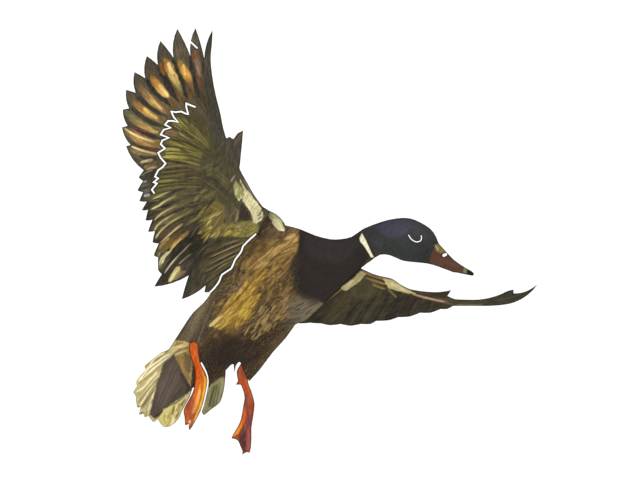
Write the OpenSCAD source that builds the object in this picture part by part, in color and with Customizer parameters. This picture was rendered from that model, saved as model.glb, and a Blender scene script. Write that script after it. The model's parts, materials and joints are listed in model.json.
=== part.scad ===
// Motion wing decoy: a flat cut-sheet drake with two wing sheets that flap on hidden hinges,
// driven through one link by a small geared drive on the back of the body sheet.
// Units are mm.  +X points towards the bill, +Z is up and the printed faces look along -Y.
// The origin is the centre of the pole socket's mouth.

/* [Sheet] */
// thickness of the body, wing and leg sheets
sheet_t = 3; // [2:0.5:3]
// width of the slit between the near wing and the body
slit_w = 2.4; // [1.6:0.2:3.2]
// width of the decorative slots cut through the sheets
slot_w = 2.6; // [1.8:0.2:2.6]

/* [Hinges] */
// hinge pin radius
hinge_pin_r = 1.5; // [1.2:0.1:1.7]
// hinge knuckle radius
knuckle_r = 3; // [2.7:0.1:3]
// length of a hinge leaf away from its knuckles
leaf_w = 25; // [18:1:25]
// radial gap between a pin and the part that turns on it
run_gap = 0.06; // [0.03:0.01:0.09]

/* [Drive] */
// distance from a turning axis to its link pin
arm_len = 22; // [20:0.5:23]
// tilt of the arms at rest from straight back
arm_tilt = 4; // [2:0.5:5]
// drive box wall thickness
wall = 2.4; // [2:0.2:2.6]

/* [Pole socket] */
// radius of the socket for a half-inch pole
pole_r = 6.45; // [6.4:0.05:6.8]
// depth of the socket
pole_depth = 42; // [36:1:44]

/* [Hidden] */
$fn = 48;

// depth stack along Y
back_y = -12;
front_y = back_y - sheet_t;
leaf_gap = knuckle_r + 0.25;
near_y = front_y - leaf_gap;
far_y = back_y + leaf_gap;
near_wing_y = near_y - leaf_gap;
far_wing_y = far_y + leaf_gap;

// the two wing axes are parallel and lean 26.565 degrees from upright
axis_lean = atan(1 / 2);
near_x = -9.6;
near_z = 193.6;
far_s = 115;
wing_lip = 3;

// the eye slot is narrower than the other slots
eye_share = 0.6;

// the nostril is two overlapping holes
nostril = [[291.2, 161], [293.8, 162.2]];
nostril_r = 2.4;

// clearance of fixed pins and screws in their holes
fixed_gap = 0.03;
leaf_t = 1.2;
near_t0 = 14;
near_t1 = 40;
far_t0 = -32;
far_t1 = 22;

// gear module and tooth counts: 10 into 28, then 12 into 30, is a 7 to 1 reduction
gear_m = 0.8;
output_teeth = 30;
small_teeth = 12;
large_teeth = 28;
pinion_teeth = 10;

// drive train positions across (s) and along (t) the wing axes
crank_s = 66;
shaft_y = 8;
arm_off = [arm_len * sin(arm_tilt), arm_len * cos(arm_tilt)];
idler_s = crank_s - gear_m * (output_teeth + small_teeth) / 2;
motor_s = idler_s - gear_m * (large_teeth + pinion_teeth) / 2;
horn_t0 = 4;
horn_t1 = 7;
link_t0 = 7.4;
link_t1 = 10.4;
pin_r = 2;
box_s0 = 19;
box_s1 = 96;
box_t0 = -112;
box_y0 = -8;
rim_y = 22;
gasket_t = 1;
cover_t = 2.4;
cover_y = rim_y + gasket_t;
lid_y = cover_y + cover_t;
plate_t0 = -14;
plate_t1 = -12;
motor_r = 10;
stud_r = 2;
screw_r = 1.5;
door_s0 = 27;
door_s1 = 88;
door_t0 = -106;
door_t1 = -53;
door_axis_t = -50;
door_axis_y = lid_y + 2.2;
latch_t = -98;
button_at = [76, -30];
cell_r = 7.25;
cell_y = 3;
cell_t0 = -106.5;
cell_t1 = -56;
cell_pitch = 15.2;
mid_s = (box_s0 + box_s1) / 2;
cell_spots = [for (i = [-1.5:1:1.5]) mid_s + i * cell_pitch];
column_spots = [[24, -4.8], [91, -4.8], [24, -107.2], [91, -107.2]];
stud_spots = [[31, -7], [84, -7], [31, -49], [86, -49], [mid_s, -118]];
near_leg_spots = [[-108.5, 12], [-105.5, -5]];
far_leg_spots = [[-29, 2], [-19, 2]];
bracket_spots = [[-15.5, 38], [15.5, 38], [-15.5, 20], [15.5, 20]];

// ---------- outline helpers ----------
function unit(v) = v / norm(v);
function left_of(v) = [-v.y, v.x];
function reversed(p) = [for (i = [len(p) - 1:-1:0]) p[i]];
function mixed(a, b, k) = a * (1 - k) + b * k;

// smooth curve through key points
function through(a, b, c, d, k) =
    0.5 * (2 * b + (c - a) * k + (2 * a - 5 * b + 4 * c - d) * k * k + (3 * b - a - 3 * c + d) * k * k * k);
function curve(p, n = 3) = [
    for (i = [0:len(p) - 2])
        for (k = [0:n - 1])
            through(p[max(i - 1, 0)], p[i], p[i + 1], p[min(i + 2, len(p) - 1)], k / n),
    p[len(p) - 1]];

// one side of a feather tip: a bowed line that bulges to the right of its travel, without its last point
function bow(a, b, full, n = 4) =
    let (c = (a + b) / 2 - left_of(b - a) * full)
    [for (i = [0:n - 1]) mixed(mixed(a, c, i / n), mixed(c, b, i / n), i / n)];

// a row of feather tips between notches
function tips(notch, tip, up, down) = [
    for (i = [0:len(tip) - 1])
        for (q = concat(bow(notch[i], tip[i], up), bow(tip[i], notch[i + 1], down))) q];

// edge of a strip that follows a line at half its width to the left or right
function strip_side(p, w, side) = [
    for (i = [0:len(p) - 1])
        let (a = unit(i > 0 ? p[i] - p[i - 1] : p[1] - p[0]),
             b = unit(i < len(p) - 1 ? p[i + 1] - p[i] : p[i] - p[i - 1]),
             n = unit(left_of(a) + left_of(b)))
        p[i] + side * n * w / 2 / max(0.55, n * left_of(a))];
module strip(p, w) polygon(concat(strip_side(p, w, 1), reversed(strip_side(p, w, -1))));

// point at s across and t along the near wing axis
function at(s, t) = [near_x + s * cos(axis_lean) + t * sin(axis_lean),
                     near_z - s * sin(axis_lean) + t * cos(axis_lean)];

// ---------- outlines ----------
slit_line = curve([[-10, 195], [-19, 187], [-30, 176], [-32, 170], [-36, 163], [-43, 154], [-48, 142],
                   [-52, 138], [-64, 130], [-67, 123], [-70, 117], [-76, 109], [-84, 101]], 2);

// near wing: primaries from the leading feather round to the first secondary
primary_tips = [[-106.4, 524.5], [-135.2, 523.2], [-162.4, 504], [-184, 479.7], [-203.7, 453.9],
                [-217.1, 425.6], [-222.4, 393.9], [-223.7, 365.6], [-217.1, 335.2]];
primary_notches = [[-92.3, 476], [-114.4, 480], [-141.6, 477.3], [-166.4, 465.6], [-186.7, 444.3],
                   [-201.9, 420.8], [-212.3, 396], [-214.7, 368], [-210.1, 337.6], [-189, 297]];
secondary_tips = [[-197, 286], [-199, 265], [-196, 248], [-192, 233], [-186, 217], [-182, 199],
                  [-175, 182], [-173, 161], [-166, 138], [-172, 111], [-128, 91]];
secondary_notches = [[-189, 297], [-190, 280], [-190, 262], [-184, 247], [-182, 234], [-175, 218],
                     [-171, 200], [-165, 180], [-166, 158], [-160, 131], [-117, 129], [-90, 113]];
wing_front = curve([[1, 239], [-12, 257], [-23, 276], [-35, 298], [-35, 308], [-32, 338], [-30.5, 357]]);
alula_tip = curve([[-30, 360.5], [-39, 356], [-45.5, 347], [-51, 350.5], [-55, 349]], 2);
first_primary = curve([[-57, 348], [-62, 365], [-67, 390], [-74, 418], [-79, 445], [-82, 474], [-80, 500],
                       [-79, 517]]);
near_wing_outline = concat(
    wing_front, alula_tip, first_primary,
    bow([-79.5, 520.6], [-92.3, 476], 0.12),
    tips(primary_notches, primary_tips, 0.04, 0.16),
    tips(secondary_notches, secondary_tips, 0.03, 0.12),
    [[-90, 113], [-92, 102]],
    reversed(strip_side(slit_line, slit_w, -1)),
    [at(wing_lip, 3), at(wing_lip, 44)]);

// slot along the edge of the wing coverts
covert_line = [[-106, 398], [-114, 401], [-121, 404], [-121, 398], [-118, 387], [-123, 388], [-129, 391],
               [-138, 390], [-145, 391], [-141, 382], [-134, 374], [-142, 376], [-150, 376], [-155, 370],
               [-146, 365], [-157, 362], [-162, 354], [-149, 349], [-159, 345], [-162, 339], [-155, 332],
               [-166, 325], [-162, 317], [-154, 308], [-159, 302], [-166, 297], [-171, 287], [-166, 284],
               [-173, 278], [-168, 276], [-176, 266], [-172, 260]];
second_primary_line = [[-118, 506], [-103, 492]];

// far wing: lower edge outwards, tip, leading edge back to the breast, then the hidden root
far_notches = [[59, 52], [94, 52], [126, 51], [158, 51], [183, 56], [218, 62], [253, 69], [286, 75], [306, 80]];
far_tips = [[77, 53], [109, 49], [142, 48], [174, 51], [204, 57], [237, 63], [270, 69], [297, 75]];
far_wing_outline = concat(
    tips(far_notches, far_tips, 0.04, 0.04),
    curve([[306, 80], [341, 80], [365, 80], [389, 82], [405, 86], [421, 94], [434, 105]]),
    curve([[441, 114], [429, 106], [416, 101], [403, 100]], 2),
    curve([[403, 106], [394, 104], [381, 98], [365, 93], [346, 90], [326, 90], [309, 91], [297, 96]]),
    curve([[303, 105], [291, 103], [278, 102], [261, 103], [246, 105], [234, 108], [221, 115], [211, 122],
           [203, 125], [189, 128], [176, 132], [159, 140]], 2),
    [[140, 160], at(far_s, 26), at(far_s, -93)]);

// body: rump and tail, round the two leg openings, belly, breast, head, neck, back and shoulder tab
tail_notches = [[-163, 4], [-186, -22], [-200, -48], [-202, -64], [-194, -82], [-190, -92], [-182, -96],
                [-167, -101]];
tail_tips = [[-188, -16], [-201, -40], [-206, -58], [-200, -82], [-197, -94], [-188, -98], [-174, -106]];
body_outline = concat(
    strip_side(slit_line, slit_w, 1),
    curve([[-83, 99], [-93, 85.5], [-104, 75.5], [-116, 62], [-145, 17], [-152, 9], [-161, 6]], 2),
    tips(tail_notches, tail_tips, 0.05, 0.12),
    curve([[-167, -101], [-158, -113], [-146, -112], [-134, -101], [-129, -90]]),
    curve([[-128.4, -89], [-122.6, -77.6], [-115.4, -64.6], [-111.6, -51.5]], 2),
    [[-108.5, -50], [-99, -11]],
    curve([[-96.6, -10], [-88.6, -25.2], [-85.4, -40], [-87, -51.4], [-90.2, -67.4], [-96.5, -90]], 2),
    curve([[-93, -95], [-82, -86], [-69, -76], [-64, -66], [-60, -48], [-58, -23]], 2),
    curve([[-56, -21], [-50, -14.6], [-45.6, -13]], 2),
    [[-43.8, -27.2], [-42.2, -16.8]],
    curve([[-41, -14], [-38, -10.6], [-35.2, -9.6]], 2),
    curve([[-34, -12], [-27, -29], [-21, -40]], 2),
    curve([[-20, -40], [-4, -22.5], [16.6, 5], [37.8, 28.5], [53, 50]], 2),
    curve([[59, 53], [69, 55], [85, 69], [106, 90], [126, 110], [159, 141], [174, 152], [189, 162],
           [205, 161], [221, 154], [234, 151], [264, 148], [282, 143], [306, 134]], 2),
    curve([[314, 133], [333, 129], [338, 129], [339, 132], [335, 136], [326, 141], [307, 154], [291, 171],
           [283, 180]], 2),
    curve([[282, 182], [278, 192], [269, 204], [253, 214], [238, 220], [224, 221], [208, 219], [192, 215],
           [163, 204], [144, 191], [126, 187], [109, 187], [85, 193], [61, 203], [38, 209]], 2),
    curve([[37, 210], [32, 218], [24, 226], [13, 232]], 2),
    [at(0, 42), at(-26, 41), at(-26, 4), at(-1, 4)]);

eye_line = curve([[234.5, 194], [238, 188], [243, 184], [248, 182.5], [253, 184], [255.5, 188], [254.5, 193]], 2);

near_leg_outline = concat(
    curve([[-110, 24], [-117, 19], [-115, 2], [-110, -13], [-107, -28], [-108.6, -50], [-113.4, -63.4],
           [-120.6, -76], [-125.5, -87], [-124, -97], [-123, -111]], 2),
    curve([[-117, -109], [-116, -119], [-106, -103], [-98, -87], [-92.2, -67], [-89, -51], [-87.4, -40],
           [-90.6, -26], [-98.6, -11], [-101, 8], [-102, 19], [-109, 24]], 2));

far_leg_outline = concat(
    curve([[-33.6, -12], [-37.8, -18.4], [-40.6, -25.6], [-39.7, -33.6], [-38.4, -40]], 2),
    [[-42, -46]],
    curve([[-34, -46], [-30, -56], [-28, -67], [-30, -80], [-34, -102], [-40, -115], [-46, -125]], 2),
    [[-49, -132], [-43, -133]],
    curve([[-38, -136], [-34, -146], [-31, -153]], 2),
    [[-32, -158], [-25, -154], [-20, -155]],
    curve([[-18, -147], [-17, -134], [-17, -115], [-14, -96], [-12, -78], [-14, -67], [-18, -54], [-22, -44],
           [-24, -26]], 2),
    [[-14, -10], [-13, 8], [-34, 8]]);

// ---------- solid helpers ----------
// a sheet whose back face lies at y
module sheet(y, t = sheet_t) translate([0, y, 0]) rotate([90, 0, 0]) linear_extrude(t) children();
module flat_rod(p, y0, y1, r) translate([p.x, y0, p.y]) rotate([-90, 0, 0]) cylinder(h = y1 - y0, r = r);

// everything on the drive and hinges is drawn across (X), back (Y) and along (Z) the wing axes
module aligned() translate([near_x, 0, near_z]) rotate([0, axis_lean, 0]) children();
module block(s0, s1, y0, y1, t0, t1) translate([s0, y0, t0]) cube([s1 - s0, y1 - y0, t1 - t0]);
module rod_t(s, y, t0, t1, r) translate([s, y, t0]) cylinder(h = t1 - t0, r = r);
module rod_y(s, t, y0, y1, r) translate([s, y0, t]) rotate([-90, 0, 0]) cylinder(h = y1 - y0, r = r);
module rod_s(y, t, s0, s1, r) translate([s0, y, t]) rotate([0, 90, 0]) cylinder(h = s1 - s0, r = r);
module hex_y(s, t, y0, y1, r) translate([s, y0, t]) rotate([-90, 0, 0]) cylinder(h = y1 - y0, r = r, $fn = 6);
module bar_t(p, q, w, t0, t1)
    translate([p.x, p.y, t0])
        rotate([0, 0, atan2(q.y - p.y, q.x - p.x)])
            translate([0, -w / 2, 0])
                cube([norm(q - p), w, t1 - t0]);
// flat ribbon lead along a path whose steps follow the axes
module lead(path, w) for (i = [0:len(path) - 2]) {
    a = path[i];
    b = path[i + 1];
    block(min(a.x, b.x) - w / 2, max(a.x, b.x) + w / 2, min(a.y, b.y) - w / 2, max(a.y, b.y) + w / 2,
          min(a.z, b.z) - w / 2, max(a.z, b.z) + w / 2);
}

// spur gear, pressure angle 25 degrees, stub teeth, one tooth centred on the X axis
gear_pa = 25;
tooth_play = 0.12;
function spin(r, a) = [r * cos(a), r * sin(a)];
function involute(c) = tan(c) * 180 / PI - c;
function flank_angle(teeth, r) =
    let (rp = gear_m * teeth / 2,
         c = acos(min(1, rp * cos(gear_pa) / r)))
    (PI * gear_m / 2 - tooth_play) / 2 / rp * 180 / PI + involute(gear_pa) - involute(c);
function gear_points(teeth) =
    let (rp = gear_m * teeth / 2,
         rb = rp * cos(gear_pa),
         ra = rp + 0.8 * gear_m,
         rf = rp - 1.1 * gear_m,
         low = max(rb, rf),
         steps = [low, mixed(low, ra, 0.35), mixed(low, ra, 0.7), ra])
    [for (i = [0:teeth - 1])
        let (mid = i * 360 / teeth)
        for (q = concat([spin(rf, mid - flank_angle(teeth, low))],
                        [for (r = steps) spin(r, mid - flank_angle(teeth, r))],
                        [for (r = reversed(steps)) spin(r, mid + flank_angle(teeth, r))],
                        [spin(rf, mid + flank_angle(teeth, low))])) q];
module gear(teeth, t0, t1, phase) translate([0, 0, t0]) rotate([0, 0, phase])
    linear_extrude(t1 - t0) polygon(gear_points(teeth));

// ---------- sheets ----------
module body_panel() color("#5a4630") difference() {
    sheet(back_y) difference() {
        polygon(body_outline);
        strip(eye_line, eye_share * slot_w);
    }
    for (p = nostril) flat_rod(p, front_y - 1, back_y + 1, nostril_r);
    aligned() block(-10.6, 2.9, front_y - 1, back_y + 1, 3, 8);
    for (p = near_leg_spots) flat_rod(p, front_y - 1, back_y + 1, screw_r + fixed_gap);
    aligned() for (t = [18.5, 27, 35.5]) rod_y(-16, t, front_y - 1, back_y + 1, screw_r + fixed_gap);
}

module near_wing_panel() color("#6b6432") sheet(near_wing_y) difference() {
    polygon(near_wing_outline);
    strip(covert_line, slot_w);
    strip(second_primary_line, slot_w);
}

module far_wing_panel() color("#3b382c") sheet(far_wing_y + sheet_t) polygon(far_wing_outline);

module near_leg() color("#d0641f") sheet(front_y) polygon(near_leg_outline);

module far_leg() color("#b5522a") difference() {
    sheet(back_y + sheet_t) polygon(far_leg_outline);
    for (p = far_leg_spots) flat_rod(p, back_y - 1, back_y + sheet_t + 1, screw_r + fixed_gap);
}

module leg_studs() color("#a8a8a6") {
    for (p = near_leg_spots) flat_rod(p, front_y, back_y + 4, screw_r);
    for (p = far_leg_spots) flat_rod(p, back_y, back_y + sheet_t + 4, screw_r);
}

module leg_nut(p, y) difference() {
    translate([p.x, y, p.y]) rotate([-90, 0, 0]) cylinder(h = 2.4, r = 3.1, $fn = 6);
    flat_rod(p, y - 1, y + 4, screw_r + fixed_gap);
}
module leg_nuts() color("#b9b9b5") {
    for (p = near_leg_spots) leg_nut(p, back_y);
    for (p = far_leg_spots) leg_nut(p, back_y + sheet_t);
}

// ---------- hinges ----------
// knuckles are numbered along the pin; the body leaf takes the even ones and the wing leaf the odd ones
module leaf(s, y, dir, face, t0, t1, odd, bore) {
    count = 5;
    len_k = (t1 - t0) / count;
    difference() {
        union() {
            block(min(s + dir * 3.6, s + dir * leaf_w), max(s + dir * 3.6, s + dir * leaf_w),
                  min(face, face + leaf_side(y, face)), max(face, face + leaf_side(y, face)), t0, t1);
            for (i = [odd:2:count - 1]) {
                rod_t(s, y, t0 + i * len_k + 0.15, t0 + (i + 1) * len_k - 0.15, knuckle_r);
                block(min(s, s + dir * 4), max(s, s + dir * 4),
                      min(face, face + leaf_side(y, face)), max(face, face + leaf_side(y, face)),
                      t0 + i * len_k + 0.15, t0 + (i + 1) * len_k - 0.15);
            }
        }
        rod_t(s, y, t0 - 1, t1 + 1, bore);
    }
}
function leaf_side(y, face) = y > face ? leaf_t : -leaf_t;

module hinge_pin(s, y, t0, t1) {
    rod_t(s, y, t0 - 1.5, t1 + 0.8, hinge_pin_r);
    rod_t(s, y, t0 - 1.5, t0 - 0.3, hinge_pin_r + 0.9);
}

module near_body_leaf() color("#8d8f8e") aligned() difference() {
    leaf(0, near_y, -1, front_y, near_t0, near_t1, 0, hinge_pin_r + fixed_gap);
    for (t = [18.5, 27, 35.5]) rod_y(-16, t, front_y - 3, front_y + 1, screw_r + fixed_gap);
}

module near_wing_leaf() color("#9a9c9b") aligned()
    leaf(0, near_y, -1, near_wing_y, near_t0, near_t1, 1, hinge_pin_r + run_gap);

module near_hinge_pin() color("#c8c9c7") aligned() hinge_pin(0, near_y, near_t0, near_t1);

module near_hinge_rivets() color("#b4b6b4") aligned() for (t = [18.5, 27, 35.5]) {
    rod_y(-16, t, front_y - leaf_t, back_y, screw_r);
    rod_y(-16, t, front_y - leaf_t - 1, front_y - leaf_t, 2.8);
    rod_y(-16, t, back_y, back_y + 1, 2.8);
}

module far_body_leaf() color("#8d8f8e") aligned()
    leaf(far_s, far_y, 1, back_y, far_t0, far_t1, 0, hinge_pin_r + fixed_gap);

module far_wing_leaf() color("#9a9c9b") aligned()
    leaf(far_s, far_y, 1, far_wing_y, far_t0, far_t1, 1, hinge_pin_r + run_gap);

module far_hinge_pin() color("#c8c9c7") aligned() hinge_pin(far_s, far_y, far_t0, far_t1);

// ---------- horns, link and crank ----------
module bolt_on_wing(s, t, face, nut_t) {
    rod_y(s, t, face, face + 1.5 + nut_t + 0.6, screw_r);
    difference() {
        hex_y(s, t, face + 1.5, face + 1.5 + nut_t, 3.1);
        rod_y(s, t, face, face + 8, screw_r);
    }
}

module near_wing_horn() color("#b9bcbd") aligned() difference() {
    tip = [0, near_y] + arm_off;
    union() {
        block(-25, -5, near_wing_y, near_wing_y + 1.5, horn_t0, 13.2);
        block(-12, -3, near_wing_y, near_wing_y + 3.4, horn_t0, horn_t1);
        bar_t([-7, near_y - 1.2], [0, near_y], 4, horn_t0, horn_t1);
        rod_t(0, near_y, horn_t0, horn_t1, 2.25);
        bar_t([0, near_y], tip, 4.5, horn_t0, horn_t1);
        rod_t(tip.x, tip.y, horn_t0, horn_t1, 4.5);
    }
    rod_t(tip.x, tip.y, horn_t0 - 1, horn_t1 + 1, pin_r + fixed_gap);
    for (s = [-21, -15]) rod_y(s, 9.6, near_wing_y - 1, near_wing_y + 3, screw_r + fixed_gap);
}

module near_horn_bolts() color("#b4b6b4") aligned()
    for (s = [-21, -15]) bolt_on_wing(s, 9.6, near_wing_y, 1.8);

module far_wing_horn() color("#b9bcbd") aligned() difference() {
    back = far_wing_y + sheet_t;
    tip = [far_s, far_y] + arm_off;
    union() {
        block(far_s + 2, far_s + 25, back, back + 1.5, horn_t0, 15);
        bar_t([far_s + 6, back + 1], tip, 7, horn_t0, horn_t1);
        block(far_s + 2, far_s + 11, back, back + 3, horn_t0, horn_t1);
        rod_t(tip.x, tip.y, horn_t0, horn_t1, 4.5);
    }
    rod_t(tip.x, tip.y, horn_t0 - 1, horn_t1 + 1, pin_r + fixed_gap);
    for (s = [far_s + 15, far_s + 21]) rod_y(s, 11, back - 1, back + 3, screw_r + fixed_gap);
}

module far_horn_bolts() color("#b4b6b4") aligned()
    for (s = [far_s + 15, far_s + 21]) bolt_on_wing(s, 11, far_wing_y + sheet_t, 2.4);

module link_pin(s, y) {
    rod_t(s, y, horn_t0 - 1.3, horn_t0, 3.4);
    rod_t(s, y, horn_t0 - 0.2, link_t1 + 1.8, pin_r);
}
module pin_clip(s, y) difference() {
    rod_t(s, y, link_t1 + 0.3, link_t1 + 1.1, 3.8);
    rod_t(s, y, link_t1, link_t1 + 2, pin_r + fixed_gap);
}
near_tip = [0, near_y] + arm_off;
far_tip = [far_s, far_y] + arm_off;
crank_tip = [crank_s, shaft_y] + arm_off;

module near_link_pin() color("#c8c9c7") aligned() link_pin(near_tip.x, near_tip.y);
module near_pin_clip() color("#4c4f52") aligned() pin_clip(near_tip.x, near_tip.y);
module far_link_pin() color("#c8c9c7") aligned() link_pin(far_tip.x, far_tip.y);
module far_pin_clip() color("#4c4f52") aligned() pin_clip(far_tip.x, far_tip.y);
module crank_link_pin() color("#c8c9c7") aligned() link_pin(crank_tip.x, crank_tip.y);
module crank_pin_clip() color("#4c4f52") aligned() pin_clip(crank_tip.x, crank_tip.y);

module drive_link() color("#a9aaa6") aligned() difference() {
    union() {
        for (p = [near_tip, crank_tip, far_tip]) rod_t(p.x, p.y, link_t0, link_t1, 5);
        translate([0, 0, link_t0]) linear_extrude(link_t1 - link_t0) strip([near_tip, crank_tip, far_tip], 6.4);
    }
    for (p = [near_tip, crank_tip, far_tip]) rod_t(p.x, p.y, link_t0 - 1, link_t1 + 1, pin_r + run_gap);
}

module crank_arm() color("#55585b") aligned() difference() {
    union() {
        rod_t(crank_s, shaft_y, 2, horn_t1, 6);
        bar_t([crank_s, shaft_y], crank_tip, 8, horn_t0, horn_t1);
        rod_t(crank_tip.x, crank_tip.y, horn_t0, horn_t1, 4.8);
    }
    rod_t(crank_s, shaft_y, 1, horn_t1 + 1, 2.5 + fixed_gap);
    rod_t(crank_tip.x, crank_tip.y, horn_t0 - 1, horn_t1 + 1, pin_r + fixed_gap);
    rod_y(crank_s, 4.5, shaft_y - 7, shaft_y, screw_r + fixed_gap);
}

module crank_grub_screw() color("#3a3c3f") aligned() difference() {
    rod_y(crank_s, 4.5, shaft_y - 6, shaft_y - 2.6, screw_r);
    hex_y(crank_s, 4.5, shaft_y - 7, shaft_y - 4.5, 0.8);
}

// ---------- gear train ----------
module output_shaft() color("#c8c9c7") aligned() rod_t(crank_s, shaft_y, plate_t0 - 1.5, horn_t1 + 0.6, 2.5);

module output_gear() color("#e9e4d4") aligned() translate([crank_s, shaft_y, 0]) difference() {
    union() {
        gear(output_teeth, -7.2, -3.6, 180);
        translate([0, 0, -10.6]) cylinder(h = 3.6, r = 4.4);
    }
    translate([0, 0, -11]) cylinder(h = 9, r = 2.5 + fixed_gap);
    for (a = [45:90:315]) rotate([0, 0, a]) translate([7.2, 0, -8]) cylinder(h = 5, r = 1.8);
}

module output_bushes() color("#b08d4f") aligned() difference() {
    union() {
        rod_t(crank_s, shaft_y, -wall, 0, 4);
        rod_t(crank_s, shaft_y, 0, 1.4, 5.4);
        rod_t(crank_s, shaft_y, plate_t0, plate_t1, 4);
        rod_t(crank_s, shaft_y, plate_t1, plate_t1 + 0.6, 5.2);
    }
    rod_t(crank_s, shaft_y, plate_t0 - 1, 3, 2.5 + run_gap);
}

module compound_gear() color("#e9e4d4") aligned() translate([idler_s, shaft_y, 0]) difference() {
    union() {
        gear(large_teeth, -11.3, -7.8, 180);
        gear(small_teeth, -7.9, -3.2, 180 / small_teeth);
    }
    translate([0, 0, -12]) cylinder(h = 12, r = 1.5 + run_gap);
    for (a = [30:60:330]) rotate([0, 0, a]) translate([7.6, 0, -12]) cylinder(h = 3.9, r = 1.3);
}

module idler_axle() color("#c8c9c7") aligned() rod_t(idler_s, shaft_y, plate_t0, -1, 1.5);

module motor_pinion() color("#b08d4f") aligned() translate([motor_s, shaft_y, 0]) {
    gear(pinion_teeth, -11.5, -7, 180 / pinion_teeth);
    translate([0, 0, -20]) cylinder(h = 13.6, r = 1);
}

module motor_can() color("#b7b9ba") aligned() difference() {
    union() {
        rod_t(motor_s, shaft_y, -42, plate_t0, motor_r);
        rod_t(motor_s, shaft_y, plate_t0, plate_t1 - 0.3, 3);
    }
    rod_t(motor_s, shaft_y, -22, -10, 1 + run_gap);
    for (d = [-7, 7]) rod_t(motor_s + d, shaft_y, -20, -10, 1 + fixed_gap);
}

module motor_end_cap() color("#2c2e30") aligned() {
    rod_t(motor_s, shaft_y, -44.5, -42, motor_r - 0.6);
    for (d = [-4, 4]) block(motor_s + d - 0.9, motor_s + d + 0.9, shaft_y - 0.3, shaft_y + 0.3, -47.5, -44.5);
}

module motor_screws() color("#8f9294") aligned() for (d = [-7, 7]) {
    rod_t(motor_s + d, shaft_y, -18, plate_t1, 1);
    rod_t(motor_s + d, shaft_y, plate_t1, plate_t1 + 0.5, 1.9);
}

module gear_plate() color("#8e9193") aligned() difference() {
    block(box_s0 + wall + 0.2, 84, box_y0 + wall + 0.2, 20, plate_t0, plate_t1);
    rod_t(crank_s, shaft_y, plate_t0 - 1, plate_t1 + 1, 4 + fixed_gap);
    rod_t(idler_s, shaft_y, plate_t0 - 1, plate_t1 + 1, 1.5 + fixed_gap);
    rod_t(motor_s, shaft_y, plate_t0 - 1, plate_t1 + 1, 3 + fixed_gap);
    for (d = [-7, 7]) rod_t(motor_s + d, shaft_y, plate_t0 - 1, plate_t1 + 1, 1 + fixed_gap);
}

// ---------- drive box ----------
module drive_housing() color("#4a4a3c") aligned() difference() {
    union() {
        difference() {
            block(box_s0, box_s1, box_y0, rim_y, box_t0, 0);
            block(box_s0 + wall, box_s1 - wall, box_y0 + wall, rim_y + 1, box_t0 + wall, -wall);
        }
        for (p = column_spots) rod_y(p.x, p.y, box_y0 + 1, rim_y, 2.8);
        for (p = stud_spots) rod_y(p.x, p.y, back_y, box_y0 + 1, 5);
        block(mid_s - 7, mid_s + 7, box_y0, box_y0 + wall, box_t0 - 13, box_t0 + 1);
        block(box_s0 + 1, box_s0 + 5, box_y0 + 1, 20, plate_t1 + 0.1, plate_t1 + 2);
        block(83, 85.5, box_y0 + 1, 20, plate_t0 - 2, plate_t0 - 0.1);
    }
    for (p = column_spots) rod_y(p.x, p.y, rim_y - 12, rim_y + 1, screw_r + fixed_gap);
    for (p = stud_spots) rod_y(p.x, p.y, back_y - 1, box_y0 + wall + 1, stud_r + 0.1);
    rod_t(crank_s, shaft_y, -wall - 1, 1, 4 + fixed_gap);
    rod_t(idler_s, shaft_y, -wall - 1, -0.9, 1.5 + fixed_gap);
}

module cover_gasket() color("#1f2022") aligned() difference() {
    block(box_s0, box_s1, rim_y, cover_y, box_t0, 0);
    block(box_s0 + wall, box_s1 - wall, rim_y - 1, cover_y + 1, box_t0 + 7, -7);
    block(box_s0 + 8, box_s1 - 8, rim_y - 1, cover_y + 1, box_t0 + wall, -wall);
    for (p = column_spots) rod_y(p.x, p.y, rim_y - 1, cover_y + 1, screw_r + 0.1);
}

module drive_cover() color("#55564a") aligned() difference() {
    union() {
        difference() {
            block(box_s0, box_s1, cover_y, lid_y, box_t0, 0);
            block(door_s0, door_s1, cover_y - 1, lid_y + 1, door_t0, door_t1);
        }
        for (s = [44, 65.4]) {
            rod_s(door_axis_y, door_axis_t, s, s + 5.6, 2);
            block(s, s + 5.6, lid_y - 0.5, door_axis_y, door_axis_t - 1.6, door_axis_t + 1.6);
        }
        rod_y(button_at.x, button_at.y, lid_y - 0.5, lid_y + 1.2, 8);
    }
    rod_s(door_axis_y, door_axis_t, 40, 75, 1 + fixed_gap);
    rod_y(button_at.x, button_at.y, cover_y - 1, lid_y + 3, 5 + run_gap);
    for (p = column_spots) rod_y(p.x, p.y, cover_y - 1, lid_y + 1, screw_r + 0.1);
}

module cover_screws() color("#9b9d9e") aligned() for (p = column_spots) {
    rod_y(p.x, p.y, rim_y - 10, lid_y, screw_r);
    difference() {
        rod_y(p.x, p.y, lid_y, lid_y + 1.8, 2.8);
        hex_y(p.x, p.y, lid_y + 0.6, lid_y + 3, 1.3);
    }
}

module power_button() color("#a8322a") aligned() {
    rod_y(button_at.x, button_at.y, 19.4, lid_y + 3.2, 5);
    rod_y(button_at.x, button_at.y, 18, 19.6, 6.6);
}

module battery_door() color("#5f6052") aligned() difference() {
    union() {
        block(door_s0 + 0.5, door_s1 - 0.5, cover_y, lid_y, door_t0 + 0.5, door_t1 - 0.5);
        block(50, 65, lid_y - 0.3, door_axis_y, -62, door_t1 - 0.5);
        block(50, 65, lid_y + 0.35, door_axis_y, -54, door_axis_t);
        rod_s(door_axis_y, door_axis_t, 50, 65, 2);
    }
    rod_s(door_axis_y, door_axis_t, 48, 67, 1 + run_gap);
    rod_y(mid_s, latch_t, cover_y - 1, lid_y + 1, 3 + run_gap);
}

module door_hinge_pin() color("#c8c9c7") aligned() rod_s(door_axis_y, door_axis_t, 43, 72, 1);

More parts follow.
